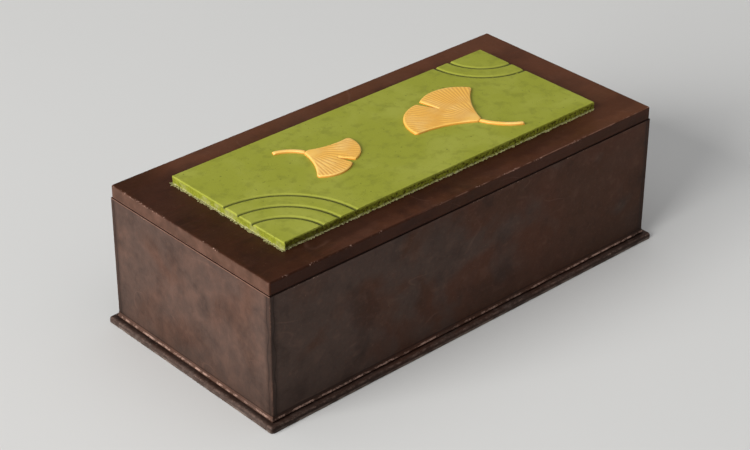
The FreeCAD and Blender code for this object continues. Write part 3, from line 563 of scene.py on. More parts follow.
def panel_paper(colours, low, high):
    """Waxed olive-green paper over board, with fibrous sides and darker cuts."""
    make = Finish("green_paper", colours.panel)
    broad = make.cloud(42, detail=4.0, rough=0.6, warp=0.4, seed=2.1)
    middle = make.cloud(8, detail=4.0, rough=0.6, seed=3.8)
    small = make.cloud(1.3, rough=0.6, seed=6.4)
    make.lay(colours.panel_light, broad, 0.42, 0.68)
    make.lay(colours.panel_dark, middle, 0.52, 0.32, 0.5)
    make.lay(colours.panel_light, small, 0.56, 0.70, 0.16)
    fibre = make.fibres(8, 0.012, seed=1.7, stretch=(2.2, 1, 1))
    sparse = make.step(make.cloud(11, detail=2.0, seed=15.0), 0.5, 0.62)
    fibre = make.times(fibre, sparse)
    make.tint(colours.panel_dark, make.times(fibre, 0.30))
    make.lay(colours.panel_fleck_and_cut_shade, make.cloud(1.6, detail=0.0, seed=21.0), 0.80, 0.84, 0.6)
    # Painted shade in the incised cuts.
    make.lay(colours.panel_fleck_and_cut_shade, make.marks(), 0.20, 0.80, 0.95)
    below = make.minus(high.z, make.z)
    ragged = make.minus(make.cloud(2.2, detail=4.0, rough=0.7, seed=8.1), 0.5)
    hem = make.plus(below, make.times(ragged, 2.6 * MM))
    # A pale line just under the top edge, all round.
    make.lay(colours.panel_light, make.size_of(make.minus(below, 0.35 * MM)), 0.5 * MM, 0.0, 0.6)
    # The sides: the front side darker as painted shade, lighter towards the right; the left side paler,
    # partly pale fibre and partly painted light.
    moss = make.cloud(1.5, detail=4.0, rough=0.7, seed=4.9)
    lit = make.step(make.x, low.x + 25 * MM, low.x + 75 * MM, 0.0, 0.75)
    shaded_front_side = make.mix(make.step(moss, 0.44, 0.64, 0.0, 0.8), colours.panel_side_shade, colours.panel_dark)
    shaded_front_side = make.mix(make.times(lit, make.step(moss, 0.38, 0.58)), shaded_front_side, colours.panel)
    lit_left_side = make.mix(make.step(moss, 0.40, 0.60, 0.15, 0.8), colours.panel, colours.panel_dark)
    lit_left_side = make.mix(make.step(middle, 0.46, 0.64, 0.0, 0.35), lit_left_side, colours.panel_fray)
    side = make.mix(make.step(make.facing[0], -0.3, -0.9), shaded_front_side, lit_left_side)
    make.lay(side, hem, 0.7 * MM, 1.3 * MM)
    frayed = make.plus(make.minus(make.z, low.z), make.times(ragged, 2.4 * MM))
    shreds = make.step(make.cloud(1.1, rough=0.7, seed=18.0), 0.40, 0.58, 0.15, 1.0)
    foot = make.step(frayed, 0.9 * MM, 0.2 * MM, 0.0, 0.85)
    make.tint(colours.panel_fray, make.times(foot, shreds))
    make.bump(middle, 0.10)
    make.bump(small, 0.05)
    make.bump(fibre, 0.05)
    return make.done(make.step(broad, 0.3, 0.7, 0.46, 0.60), specular_ior_level=0.25)


def leaf_paper(colours):
    """Waxed orange-yellow paper on cut board."""
    make = Finish("orange_paper", colours.relief)
    broad = make.cloud(16, rough=0.55, seed=2.6)
    small = make.cloud(1.4, detail=4.0, rough=0.65, seed=5.9)
    make.lay(colours.relief_pale, broad, 0.40, 0.66, 0.8)
    make.lay(colours.relief_dark_and_shade, small, 0.44, 0.30, 0.25)
    # Darker in the veins.
    make.tint(colours.relief_dark_and_shade, make.times(make.marks(), 0.6))
    # Painted shade: sides facing away from up are darker.
    make.lay(colours.relief_dark_and_shade, make.facing[2], 0.75, 0.2, 0.7)
    make.bump(small, 0.03)
    make.bump(make.cloud(6, seed=8.4), 0.06)
    return make.done(make.step(small, 0.3, 0.7, 0.34, 0.46), specular_ior_level=0.5)


def grained_wood(name, light, dark, along, gloss=0.42, seed=0.0):
    """Stained wood with its grain along an axis, 0 for X, 1 for Y, 2 for Z."""
    make = Finish(name, light)
    stretch = [1.0, 1.0, 1.0]
    stretch[along] = 16.0
    wide = make.cloud(7.0, rough=0.55, warp=0.5, stretch=stretch, seed=seed + 1.0)
    rings = make.maths("FRACT", make.times(wide, 7.0))
    rings = make.step(make.size_of(make.minus(rings, 0.5)), 0.12, 0.5)
    pores = make.cloud(0.5, detail=2.0, rough=0.6, stretch=stretch, seed=seed + 2.0)
    blotch = make.cloud(30, seed=seed + 3.0)
    make.tint(dark, make.times(rings, 0.55))
    make.lay(dark, pores, 0.52, 0.66, 0.6)
    make.lay(dark, blotch, 0.40, 0.66, 0.3)
    make.bump(rings, 0.03)
    make.bump(pores, 0.04)
    return make.done(make.step(wide, 0.3, 0.7, gloss, gloss + 0.14), specular_ior_level=0.4)


def felt_cloth(colours):
    make = Finish("felt_cloth", colours.felt)
    matted = make.cloud(1.0, detail=4.0, rough=0.75, warp=1.0, seed=1.0)
    broad = make.cloud(24, seed=2.0)
    make.lay(colours.lacquer_dark_and_shade, matted, 0.35, 0.7, 0.7)
    make.lay(colours.inner_paper, broad, 0.4, 0.65, 0.3)
    make.bump(matted, 0.35)
    make.bump(make.fibres(2.5, 0.05, seed=3.0), 0.15)
    return make.done(make.step(matted, 0.3, 0.7, 0.88, 0.97), sheen_weight=0.35, sheen_roughness=0.5)


def lining_paper(colours):
    make = Finish("lining_paper", colours.lining)
    broad = make.cloud(35, seed=3.0)
    fibre = make.larger(make.fibres(12, 0.012, seed=1.0), make.fibres(7, 0.016, seed=4.0))
    make.lay(colours.lining_fibre, broad, 0.38, 0.66, 0.25)
    make.tint(colours.lining_fibre, make.times(fibre, 0.5))
    make.lay(colours.lining_fibre, make.cloud(1.0, detail=1.0, seed=6.0), 0.70, 0.76, 0.5)
    make.bump(make.cloud(3.0, detail=5.0, rough=0.65, seed=5.0), 0.08)
    make.bump(fibre, 0.05)
    return make.done(make.step(broad, 0.3, 0.7, 0.78, 0.9), specular_ior_level=0.3)


def honed_slate(colours, low, high):
    make = Finish("honed_slate", colours.slate)
    beds = make.cloud(9, detail=5.0, rough=0.6, warp=0.7, stretch=(5, 3, 0.6), seed=1.0)
    grit = make.cloud(0.6, rough=0.7, seed=2.0)
    make.lay(colours.slate_dust, beds, 0.45, 0.72, 0.45)
    make.lay(colours.slate_dust, grit, 0.62, 0.76, 0.5)
    x, y, z = make.inside(low, high)
    edge = make.larger(make.smaller(x, y), make.smaller(make.larger(x, y), z))
    ragged = make.times(make.cloud(3.0, detail=4.0, seed=3.0), 2 * MM)
    make.lay(colours.slate_dust, make.plus(edge, ragged), 2.2 * MM, 0.9 * MM, 0.55)
    make.bump(beds, 0.10)
    make.bump(grit, 0.05)
    return make.done(make.step(beds, 0.3, 0.7, 0.42, 0.62), specular_ior_level=0.5)


def pressed_ink(colours):
    make = Finish("pressed_ink", colours.ink)
    broad = make.cloud(12, detail=4.0, rough=0.6, seed=1.0)
    grit = make.cloud(0.7, rough=0.7, seed=2.0)
    make.lay(colours.slate, broad, 0.42, 0.7, 0.3)
    make.lay(colours.slate_dust, grit, 0.64, 0.76, 0.25)
    make.bump(broad, 0.12)
    make.bump(grit, 0.04)
    return make.done(make.step(broad, 0.3, 0.7, 0.36, 0.58), specular_ior_level=0.5)


def crackled_glaze(colours):
    make = Finish("crackled_glaze", colours.glaze)
    pool = make.cloud(14, seed=1.0)
    crackle = make.step(make.cracks(4.2, seed=2.0), 0.028, 0.0)
    speck = make.step(make.cloud(0.9, detail=1.0, seed=3.0), 0.74, 0.80)
    make.lay(colours.glaze_pool, pool, 0.38, 0.66, 0.8)
    make.tint(colours.glaze_pool, make.times(crackle, 0.5))
    make.tint(colours.lacquer_grey_and_sheen, make.times(speck, 0.5))
    make.bump(make.cloud(6, detail=2.0, seed=4.0), 0.12)
    make.bump(crackle, -0.02)
    roughness = make.step(pool, 0.3, 0.7, 0.12, 0.22)
    return make.done(roughness, specular_ior_level=0.5, coat_weight=0.4, coat_roughness=0.06)


def split_bamboo(colours):
    make = Finish("split_bamboo", colours.bamboo)
    streaks = make.cloud(0.8, rough=0.6, stretch=(34, 1, 1), seed=1.0)
    flecks = make.cloud(3.0, rough=0.6, stretch=(3, 1, 1), seed=2.0)
    make.lay(colours.bamboo_dark, streaks, 0.42, 0.70, 0.5)
    make.lay(colours.bamboo_dark, flecks, 0.60, 0.72, 0.5)
    make.tint(colours.bamboo_dark, make.times(make.marks(), 0.75))
    make.bump(streaks, 0.04)
    return make.done(make.step(flecks, 0.3, 0.7, 0.26, 0.38), specular_ior_level=0.5)


def polished_horn(colours):
    make = Finish("polished_horn", colours.horn)
    streaks = make.cloud(1.6, rough=0.6, warp=0.6, stretch=(9, 1, 1), seed=1.0)
    make.lay(colours.horn_light, streaks, 0.55, 0.78, 0.7)
    make.bump(make.cloud(2.0, detail=2.0, seed=2.0), 0.02)
    return make.done(make.step(streaks, 0.3, 0.7, 0.16, 0.28), specular_ior_level=0.55)


def brush_hair(colours, tip_start, tip_end):
    """Hair that darkens from tip_start to tip_end along X."""
    make = Finish(f"brush_hair_{round(tip_end / MM)}", colours.hair)
    strands = make.cloud(0.35, detail=2.0, rough=0.6, stretch=(40, 1, 1), seed=1.0)
    make.lay(colours.hair_tip, strands, 0.40, 0.68, 0.5)
    make.lay(colours.hair_tip, make.x, tip_start, tip_end, 0.7)
    make.bump(strands, 0.08)
    return make.done(make.step(strands, 0.3, 0.7, 0.5, 0.66), specular_ior_level=0.35, sheen_weight=0.2)


def floor_finish(colours):
    """Plain pale floor that runs into the colour of the air behind it, well away from the box."""
    make = Finish("studio_floor", colours.floor)
    make.lay(colours.horizon, make.cloud(260, detail=2.0), 0.3, 0.7, 0.12)
    material = make.done(0.9, specular_ior_level=0.2)
    reach = make.add("ShaderNodeVectorMath", operation="LENGTH")
    make.feed(reach.inputs[0], make.place)
    far = make.step(reach.outputs["Value"], 450 * MM, 1100 * MM)
    rays = make.add("ShaderNodeLightPath").outputs
    seen = make.larger(rays["Is Glossy Ray"], rays["Is Transmission Ray"])
    seen = make.larger(rays["Is Camera Ray"], seen)
    plain = make.add("ShaderNodeEmission")
    make.feed(plain.inputs["Color"], colours.horizon)
    blend = make.add("ShaderNodeMixShader")
    make.feed(blend.inputs[0], make.times(far, seen))
    make.tree.links.new(make.shader.outputs[0], blend.inputs[1])
    make.tree.links.new(plain.outputs[0], blend.inputs[2])
    make.tree.links.new(blend.outputs[0], make.tree.nodes["Material Output"].inputs["Surface"])
    return material


def dress(names, material):
    """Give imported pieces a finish."""
    for name in names:
        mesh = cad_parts[name].data
        mesh.materials.clear()
        mesh.materials.append(material)


def new_piece(name, points, faces, material, values=None, sharp_from=50.0):
    """An object from points and faces, smooth but for creases. values is its cut attribute."""
    mesh = bpy.data.meshes.new(name)
    mesh.from_pydata([tuple(point) for point in points], [], faces)
    if values is not None:
        attribute = mesh.attributes.new("cut", "FLOAT", "POINT")
        attribute.data.foreach_set("value", np.array(values, np.float32))
    mesh.materials.append(material)
    mesh.shade_smooth()
    mesh.set_sharp_from_angle(angle=math.radians(sharp_from))
    mesh.validate()
    piece = bpy.data.objects.new(name, mesh)
    bpy.context.scene.collection.objects.link(piece)
    return piece


def stand_in(piece, nodes, body):
    """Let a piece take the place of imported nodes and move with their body."""
    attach(piece, body)
    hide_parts(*nodes)


def smooth(value, low, high):
    share = min(1.0, max(0.0, (value - low) / (high - low)))
    return share * share * (3 - 2 * share)


def stations(low, high, pitch, edge):
    """Grid lines from low to high, closer together over the rounded edge at either end."""
    turns = [math.radians(15 * index) for index in range(7)]
    near = [edge * (1 - math.cos(turn)) for turn in turns]
    inner = high - low - 2 * edge
    steps = round(inner / pitch)
    middle = [low + edge + inner * index / steps for index in range(1, steps)]
    return [low + inset for inset in near] + middle + [high - inset for inset in reversed(near)]


def round_drop(inset, radius):
    """How far a rounded edge lies below the top, at an inset from the side."""
    if inset >= radius:
        return 0.0
    return radius - math.sqrt(max(0.0, radius**2 - (radius - inset) ** 2))


def ripple_share(x, y, low, high, sizes):
    """How deep the incised arcs are at x, y, from 0 to 1."""
    share = 0.0
    for corner, arcs in ((low, sizes.front_ripples), (high, sizes.back_ripples)):
        reach = math.hypot(x - corner.x, y - corner.y)
        for index in range(arcs):
            off = abs(reach - sizes.ripple_radius - index * sizes.ripple_pitch)
            share = max(share, 1 - smooth(off, 0.0, sizes.ripple_width / 2))
    return share


def round_path(low, high, corner, pitch):
    """Places and outward directions round a board with rounded corners, seen from above."""
    centres = [
        Vector((high.x - corner, high.y - corner)),
        Vector((low.x + corner, high.y - corner)),
        Vector((low.x + corner, low.y + corner)),
        Vector((high.x - corner, low.y + corner)),
    ]
    path = []
    for index, centre in enumerate(centres):
        for step in range(9):
            turn = math.pi / 2 * (index + step / 8)
            outward = Vector((math.cos(turn), math.sin(turn)))
            path.append((centre + outward * corner, outward))
        start = path[-1][0]
        end = centres[(index + 1) % 4] + outward * corner
        pieces = round((end - start).length / pitch)
        path += [(start.lerp(end, piece / pieces), outward) for piece in range(1, pieces)]
    return path


def make_moulding(name, node, corner, profile, sizes, material):
    """A board's edge under hand-laid paper. profile has the reach, height and wear of each line."""
    low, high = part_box(node)
    path = round_path(low, high, corner, sizes.moulding_pitch)
    size = len(path)
    points, values, faces = [], [], []
    for level, (reach, height, worn) in enumerate(profile):
        for place, outward in path:
            slow = noise.noise(Vector((place.x, place.y, height * 2)) / (16 * MM))
            quick = noise.noise(Vector((place.x, place.y, height)) / (3.5 * MM))
            inward = sizes.moulding_wave * (1 + 0.7 * slow + 0.3 * quick) / 2
            lift = sizes.moulding_wave * 0.5 * slow if 0 < level < len(profile) - 1 else 0.0
            spot = place + outward * (reach - inward)
            points.append(Vector((spot.x, spot.y, max(0.0, height + lift))))
            values.append(worn)
    for level in range(len(profile) - 1):
        for index in range(size):
            after = (index + 1) % size
            here, above = level * size, (level + 1) * size
            faces.append((here + index, here + after, above + after, above + index))
    last = (len(profile) - 1) * size
    faces.append(tuple(reversed(range(size))))
    faces.append(tuple(range(last, last + size)))
    piece = new_piece(name, points, faces, material, values, sharp_from=60.0)
    stand_in(piece, [node], "box")


def torn_reach(place, outward, sizes):
    """How far the torn paper at the panel's foot spreads on the lid."""
    left = max(0.0, -outward.x)
    reach = sizes.panel_fringe_short + (sizes.panel_fringe - sizes.panel_fringe_short) * left
    coarse = noise.noise(Vector((place.x, place.y, 0.3)) / (5 * MM))
    fine = noise.noise(Vector((place.x, place.y, 0.7)) / (0.9 * MM))
    return reach * min(1.0, max(0.2, 0.45 + 0.5 * coarse + 0.7 * fine))


def make_panel(sizes, material):
    """The raised panel: a grid for its top, then rows of fibrous board down its sides."""
    low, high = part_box("lid_panel")
    corner = sizes.panel_corner
    centre = (low + high) / 2
    half = (high - low) / 2
    columns = stations(low.x, high.x, sizes.panel_grid, sizes.panel_round)
    rows = stations(low.y, high.y, sizes.panel_grid, sizes.panel_round)
    points, values, outward = [], [], []
    for y in rows:
        for x in columns:
            inset = min(x - low.x, high.x - x, y - low.y, high.y - y)
            past_x = max(0.0, abs(x - centre.x) - half.x + corner)
            past_y = max(0.0, abs(y - centre.y) - half.y + corner)
            side_x = math.copysign(1, x - centre.x)
            side_y = math.copysign(1, y - centre.y)
            if past_x > 0 and past_y > 0:
                pull = max(past_x, past_y) / math.hypot(past_x, past_y)
                x -= side_x * past_x * (1 - pull)
                y -= side_y * past_y * (1 - pull)
            direction = Vector((side_x * past_x, side_y * past_y, 0))
            if not (past_x > 0 and past_y > 0):
                direction = Vector((side_x * (past_x > past_y), side_y * (past_y >= past_x), 0))
            cut = ripple_share(x, y, low, high, sizes)
            wave = noise.noise(Vector((x, y, 0)) / (18 * MM))
            z = high.z - round_drop(inset, sizes.panel_round) - cut * sizes.ripple_depth
            points.append(Vector((x, y, z - sizes.panel_wave * (0.5 + 0.5 * wave))))
            values.append(cut)
            outward.append(direction.normalized())
    wide, deep = len(columns), len(rows)
    starts = [row * wide + column for row in range(deep - 1) for column in range(wide - 1)]
    faces = [(start, start + 1, start + wide + 1, start + wide) for start in starts]
    ring = (
        list(range(wide))
        + [row * wide + wide - 1 for row in range(1, deep)]
        + [(deep - 1) * wide + column for column in range(wide - 2, -1, -1)]
        + [row * wide for row in range(deep - 2, 0, -1)]
    )
    height = high.z - low.z
    fringe_top = 1 - sizes.panel_fringe_height / height
    shares = [level / 6 for level in range(1, 6)] + [fringe_top, fringe_top, 1.0]
    above = ring
    for level, share in enumerate(shares):
        below = []
        for index in ring:
            top = points[index]
            z = top.z + (low.z - top.z) * share
            fray = noise.noise(Vector((top.x, top.y, z * 1.6)) / (1.7 * MM))
            fray += 0.5 * noise.noise(Vector((top.x, top.y, z)) / (6 * MM))
            inward = sizes.panel_fray * min(1.0, max(0.0, 0.35 + 0.6 * fray)) * min(1.0, share * 2.5)
            if level >= 6:
                inward = -torn_reach(top, outward[index], sizes)
            below.append(len(points))
            points.append(Vector((top.x, top.y, z)) - outward[index] * inward)
            values.append(0.0)
        for place in range(len(ring)):
            after = (place + 1) % len(ring)
            faces.append((above[place], below[place], below[after], above[after]))
        above = below
    faces.append(tuple(reversed(above)))
    piece = new_piece("papered_panel", points, faces, material, values)
    stand_in(piece, ["lid_panel"], "lid")


def outline_of(node, pitch):
    """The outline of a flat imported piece, seen from above, in points about pitch apart."""
    shape = bmesh.new()
    shape.from_mesh(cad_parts[node].data)
    bmesh.ops.remove_doubles(shape, verts=shape.verts, dist=FINE)
    shape.normal_update()
    bottom = {face for face in shape.faces if face.normal.z < -0.99}
    if not bottom:
        raise RuntimeError(f"{node} has no flat underside")
    follows = {}
    for face in bottom:
        for loop in face.loops:
            if sum(1 for other in loop.edge.link_faces if other in bottom) == 1:
                follows[loop.link_loop_next.vert] = loop.vert
    first = next(iter(follows))
    corners = [first]
    while follows[corners[-1]] is not first:
        corners.append(follows[corners[-1]])
    flat = [vert.co.to_2d() for vert in corners]
    shape.free()
    outline = []
    for start, end in zip(flat, flat[1:] + flat[:1]):
        pieces = max(1, round((end - start).length / pitch))
        outline += [start.lerp(end, index / pieces) for index in range(pieces)]
    return outline


def distance_to(outline, points):
    """How far each point lies from a closed outline."""
    start = np.array(outline)
    run = np.roll(start, -1, axis=0) - start
    offset = np.array(points)[:, None, :] - start[None, :, :]
    share = np.clip((offset * run).sum(2) / (run * run).sum(1), 0, 1)
    gap = offset - share[:, :, None] * run
    return np.sqrt((gap * gap).sum(2)).min(1)


def filled(outline, pitch, insets):
    """Points and triangles that fill an outline: rings inside it, then an even spread."""
    size = len(outline)
    rings = []
    for inset in insets:
        for index, here in enumerate(outline):
            along = outline[(index + 1) % size] - outline[index - 1]
            inward = Vector((-along.y, along.x)).normalized()
            rings.append(here + inward * inset)
    low = np.array(outline).min(0)
    high = np.array(outline).max(0)
    rise = pitch * math.sqrt(3) / 2
    spread = [
        Vector((low[0] + pitch * (column + 0.5 * (row % 2)), low[1] + rise * row))
        for row in range(int((high[1] - low[1]) / rise) + 1)
        for column in range(int((high[0] - low[0]) / pitch) + 1)
    ]
    ring_gaps = distance_to(outline, rings)
    expected = np.repeat(insets, size)
    kept = [p for p, gap, want in zip(rings, ring_gaps, expected) if gap > 0.97 * want]
    spread_gaps = distance_to(outline, spread)
    kept += [p for p, gap in zip(spread, spread_gaps) if gap > insets[-1] + 0.6 * pitch]
    points, _, faces, _, _, _ = delaunay_2d_cdt(
        outline + kept, [], [list(range(size))], 1, FINE * 0.01
    )
    return points, faces


def make_relief(name, node, sizes, material, veins=None):
    """A leaf or stalk with its packed outline, a rounded rim, a crown and veins."""
    low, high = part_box(node)
    outline = outline_of(node, 0.9 * MM)
    radius = sizes.leaf_round
    insets = [radius * (1 - math.cos(math.radians(turn))) for turn in (25, 50, 75)]
    flat, triangles = filled(outline, sizes.leaf_grid, insets)
    gaps = distance_to(outline, flat)
    bottom = low.z - sizes.leaf_bed
    points, values = [], []
    for place, gap in zip(flat, gaps):
        rise = 1 - math.exp(-gap / (3 * MM))
        z = high.z - sizes.leaf_crown * (1 - rise) - round_drop(gap, radius)
        line = veins(place, gap) if veins else 0.0
        points.append(Vector((place.x, place.y, z - line * sizes.vein_depth)))
        values.append(line)
    faces = [tuple(face) for face in triangles]
    rim = boundary(faces)
    under = {index: len(points) + offset for offset, index in enumerate(rim)}
    for index in rim:
        points.append(Vector((points[index].x, points[index].y, bottom)))
        values.append(0.0)
    for start, end in zip(rim, rim[1:] + rim[:1]):
        faces.append((end, start, under[start], under[end]))
    faces.append(tuple(under[index] for index in reversed(rim)))
    piece = new_piece(name, points, faces, material, values, sharp_from=65.0)
    stand_in(piece, [node], "lid")


def boundary(faces):
    """The loop of points round a patch of faces."""
    edges = {(a, b) for face in faces for a, b in zip(face, face[1:] + face[:1])}
    follows = {a: b for a, b in edges if (b, a) not in edges}
    first = min(follows)
    loop = [first]
    while follows[loop[-1]] != first:
        loop.append(follows[loop[-1]])
    return loop


def fan_veins(foot, turn, spread, sizes):
    """Veins that fan out from a leaf's foot and fork once on the way."""
    axis = Vector((-math.sin(turn), math.cos(turn)))
    across = Vector((axis.y, -axis.x))
    source = foot - axis * sizes.vein_start * 0.3

    def line(bearing, pitch, reach):
        off = abs((bearing / pitch + 0.5) % 1.0 - 0.5) * pitch * reach
        return 1 - smooth(off, 0.0, 0.75 * MM)

    def depth(place, gap):
        arm = place - source
        bearing = math.atan2(arm.dot(across), arm.dot(axis))
        reach = arm.length
        first = line(bearing, spread, reach)
        forked = line(bearing + spread / 2, spread, reach) * smooth(
            reach, 1.5 * sizes.vein_full, 1.9 * sizes.vein_full
        )
        fade = smooth(reach, sizes.vein_start, sizes.vein_full) * smooth(gap, 0.0, 1.6 * MM)
        return max(first, forked) * fade

    return depth


def turned(name, profile, y, z, material, values=None, sides=40):
    """A round piece about an axis along X at y, z. profile is a list of x, radius pairs."""
    points, shares = [], []
    for index, (x, radius) in enumerate(profile):
        for side in range(sides):
            bearing = 2 * math.pi * side / sides
            points.append(Vector((x, y + radius * math.cos(bearing), z + radius * math.sin(bearing))))
            shares.append(values[index] if values else 0.0)
    faces = []
    for ring in range(len(profile) - 1):
        for side in range(sides):
            after = (side + 1) % sides
            here = ring * sides
            faces.append((here + side, here + sides + side, here + sides + after, here + after))
    last = (len(profile) - 1) * sides
    faces.append(tuple(range(sides)))
    faces.append(tuple(last + side for side in reversed(range(sides))))
    return new_piece(name, points, faces, material, shares, sharp_from=40.0)


def rounded_ends(low, high, radius, edge):
    """Profile of a plain round piece with both rims rounded."""
    turns = [math.radians(18 * index) for index in range(6)]
    start = [(low + edge * (1 - math.sin(t)), radius - edge * (1 - math.cos(t))) for t in reversed(turns)]
    end = [(high - edge * (1 - math.sin(t)), radius - edge * (1 - math.cos(t))) for t in turns]
    return start + end


def grooved(profile, places, width, depth):
    """The same profile with round grooves turned in at some places along it."""
    made = []
    for (x, radius), (next_x, next_radius) in zip(profile, profile[1:] + profile[-1:]):
        made.append((x, radius))
        for place in places:
            if x < place - width and next_x > place + width:
                for share in (-1.0, -0.6, 0.0, 0.6, 1.0):
                    drop = depth * (1 - share * share)
                    made.append((place + share * width, min(radius, next_radius) - drop))
    return made


def make_handle(brush, material, joints):
    """A bamboo handle with rings where the joints of the cane are, as shares of its length."""
    low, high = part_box(f"{brush}_handle")
    radius = (high.y - low.y) / 2
    run = high.x - low.x
    profile, values = [], []
    steps = 96
    for index in range(steps + 1):
        share = index / steps
        x = low.x + share * run
        ring, collar = 0.0, 0.0
        for joint in joints:
            off = (share - joint) * run / MM
            ring = max(ring, math.exp(-((off / 1.3) ** 2)))
            collar = max(collar, math.exp(-(((off - 2.2) / 0.8) ** 2)))
        swell = 0.93 + 0.07 * ring - 0.05 * collar * (1 - ring)
        profile.append((x, radius * swell))
        values.append(max(collar, 0.4 * ring))
    centre = (low + high) / 2
    piece = turned(f"{brush}_cane", profile, centre.y, centre.z, material, values)
    stand_in(piece, [f"{brush}_handle"], brush)


def make_horn(brush, part, sizes, material):
    """An end cap or a collar with rounded rims and a turned groove or two."""
    node = f"{brush}_{part}"
    low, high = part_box(node)
    radius = (high.y - low.y) / 2
    run = high.x - low.x
    profile = rounded_ends(low.x, high.x, radius, sizes.horn_round)
    grooves = [low.x + run * share for share in ((0.5,) if part == "cap" else (0.22, 0.34))]
    profile = grooved(profile, grooves, 0.5 * MM, 0.35 * MM)
    if part == "collar":
        hair_low, hair_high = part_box(f"{brush}_hair")
        mouth = (hair_high.y - hair_low.y) / 2 * 0.96
        shares = [smooth(x, high.x - run * 0.6, high.x) for x, _ in profile]
        profile = [(x, min(r, radius + (mouth - radius) * s)) for (x, r), s in zip(profile, shares)]
    centre = (low + high) / 2
    piece = turned(f"{node}_horn", profile, centre.y, centre.z, material)
    stand_in(piece, [node], brush)


def hair_swell(share):
    """The radius of a brush head along its length, as a share of its belly."""
    if share < 0.33:
        return 0.86 + 0.14 * smooth(share, 0.0, 0.33)
    return 0.03 + 0.97 * math.cos((share - 0.33) / 0.67 * math.pi / 2) ** 1.15


def make_hair(brush, colours, sizes, strands, seed):
    """A brush head: a core and many tapered strands laid along it."""
    low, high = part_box(f"{brush}_hair")
    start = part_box(f"{brush}_collar")[1].x - 1.5 * MM
    centre = (low + high) / 2
    belly = (high.y - low.y) / 2
    run = high.x - start
    draw = random.Random(seed)
    points, faces = [], []

    def tube(path, widths, sides):
        first = len(points)
        for spot, width in zip(path, widths):
            for side in range(sides):
                bearing = 2 * math.pi * side / sides
                points.append(spot + Vector((0, math.cos(bearing), math.sin(bearing))) * width)
        for ring in range(len(path) - 1):
            for side in range(sides):
                here = first + ring * sides
                after = (side + 1) % sides
                faces.append((here + side, here + sides + side, here + sides + after, here + after))
        faces.append(tuple(first + side for side in range(sides)))
        last = first + (len(path) - 1) * sides
        faces.append(tuple(last + side for side in reversed(range(sides))))

    shares = [index / 14 for index in range(15)]
    core = [Vector((start + run * 0.97 * share, centre.y, centre.z)) for share in shares]
    tube(core, [0.86 * belly * hair_swell(share) for share in shares], 28)
    for index in range(strands):
        bearing = index * math.pi * (3 - math.sqrt(5)) + draw.uniform(-0.05, 0.05)
        depth = 0.97 - 0.14 * draw.random() ** 2
        reach = 1.0 - 0.16 * draw.random() ** 1.5
        sway = draw.uniform(-0.05, 0.05)
        path, widths = [], []
        for step in range(9):
            share = reach * step / 8
            turn = bearing + sway * share * 3
            radius = (belly - sizes.strand_width / 2) * depth * hair_swell(share)
            spot = Vector((start + run * share, 0, 0))
            spot += Vector((0, centre.y + radius * math.cos(turn), centre.z + radius * math.sin(turn)))
            path.append(spot)
            widths.append(sizes.strand_width / 2 * (1 - 0.85 * step / 8))
        tube(path, widths, 4)
    material = brush_hair(colours, start + 0.55 * run, high.x)
    piece = new_piece(f"{brush}_head", points, faces, material)
    stand_in(piece, [f"{brush}_hair"], brush)


def place_camera(studio):
    """The camera as the photograph has it."""
    turn, rise, roll = studio.camera_turn, studio.camera_rise, studio.camera_roll
    back = Vector((math.sin(turn) * math.cos(rise), -math.cos(turn) * math.cos(rise), math.sin(rise)))
    level = Vector((math.cos(turn), math.sin(turn), 0))
    upright = back.cross(level)
    right = math.cos(roll) * level + math.sin(roll) * upright
    up = math.cos(roll) * upright - math.sin(roll) * level
    data = bpy.data.cameras.new("studio_camera")
    data.sensor_fit = "HORIZONTAL"
    data.sensor_width = SENSOR_WIDTH
    data.lens = studio.focal_length
    data.clip_start = 0.01
    data.clip_end = 100.0
    camera = bpy.data.objects.new("studio_camera", data)
    bpy.context.scene.collection.objects.link(camera)
    place = back * studio.camera_distance + right * studio.camera_across + up * studio.camera_up
    camera.matrix_world = Matrix.Translation(place) @ Matrix((right, up, back)).transposed().to_4x4()
    bpy.context.scene.camera = camera


def hang_lamp(name, place, width, height, power):
    """A soft rectangular lamp at a place, facing the box."""
    data = bpy.data.lights.new(name, "AREA")
    data.shape = "RECTANGLE"
    data.size = width
    data.size_y = height
    data.energy = power
    lamp = bpy.data.objects.new(name, data)
    lamp.location = place
    lamp.rotation_euler = (Vector(LAMP_AIM) - Vector(place)).to_track_quat("-Z", "Y").to_euler()
    bpy.context.scene.collection.objects.link(lamp)


def fill_air(colours):
    """Air that is pale where it meets the floor, dim above that and bright overhead."""
    world = bpy.data.worlds.new("studio_air")
    world.use_nodes = True
    bpy.context.scene.world = world
    tree = world.node_tree
    coordinates = tree.nodes.new("ShaderNodeTexCoord")
    split = tree.nodes.new("ShaderNodeSeparateXYZ")
    tree.links.new(coordinates.outputs["Generated"], split.inputs[0])
    below = None
    bands = ((0.07, 0.20, colours.horizon, colours.air), (0.55, 0.85, None, colours.overhead))
    for start, end, low_colour, high_colour in bands:
        rise = tree.nodes.new("ShaderNodeMapRange")
        rise.interpolation_type = "SMOOTHSTEP"
        rise.inputs["From Min"].default_value = start
        rise.inputs["From Max"].default_value = end
        shade = tree.nodes.new("ShaderNodeMix")
        shade.data_type = "RGBA"
        tree.links.new(split.outputs[2], rise.inputs["Value"])
        tree.links.new(rise.outputs["Result"], shade.inputs[0])
        if below is None:
            shade.inputs[6].default_value = (*low_colour, 1.0)
        else:
            tree.links.new(below, shade.inputs[6])
        shade.inputs[7].default_value = (*high_colour, 1.0)
        below = shade.outputs[2]
    tree.links.new(below, tree.nodes["Background"].inputs["Color"])


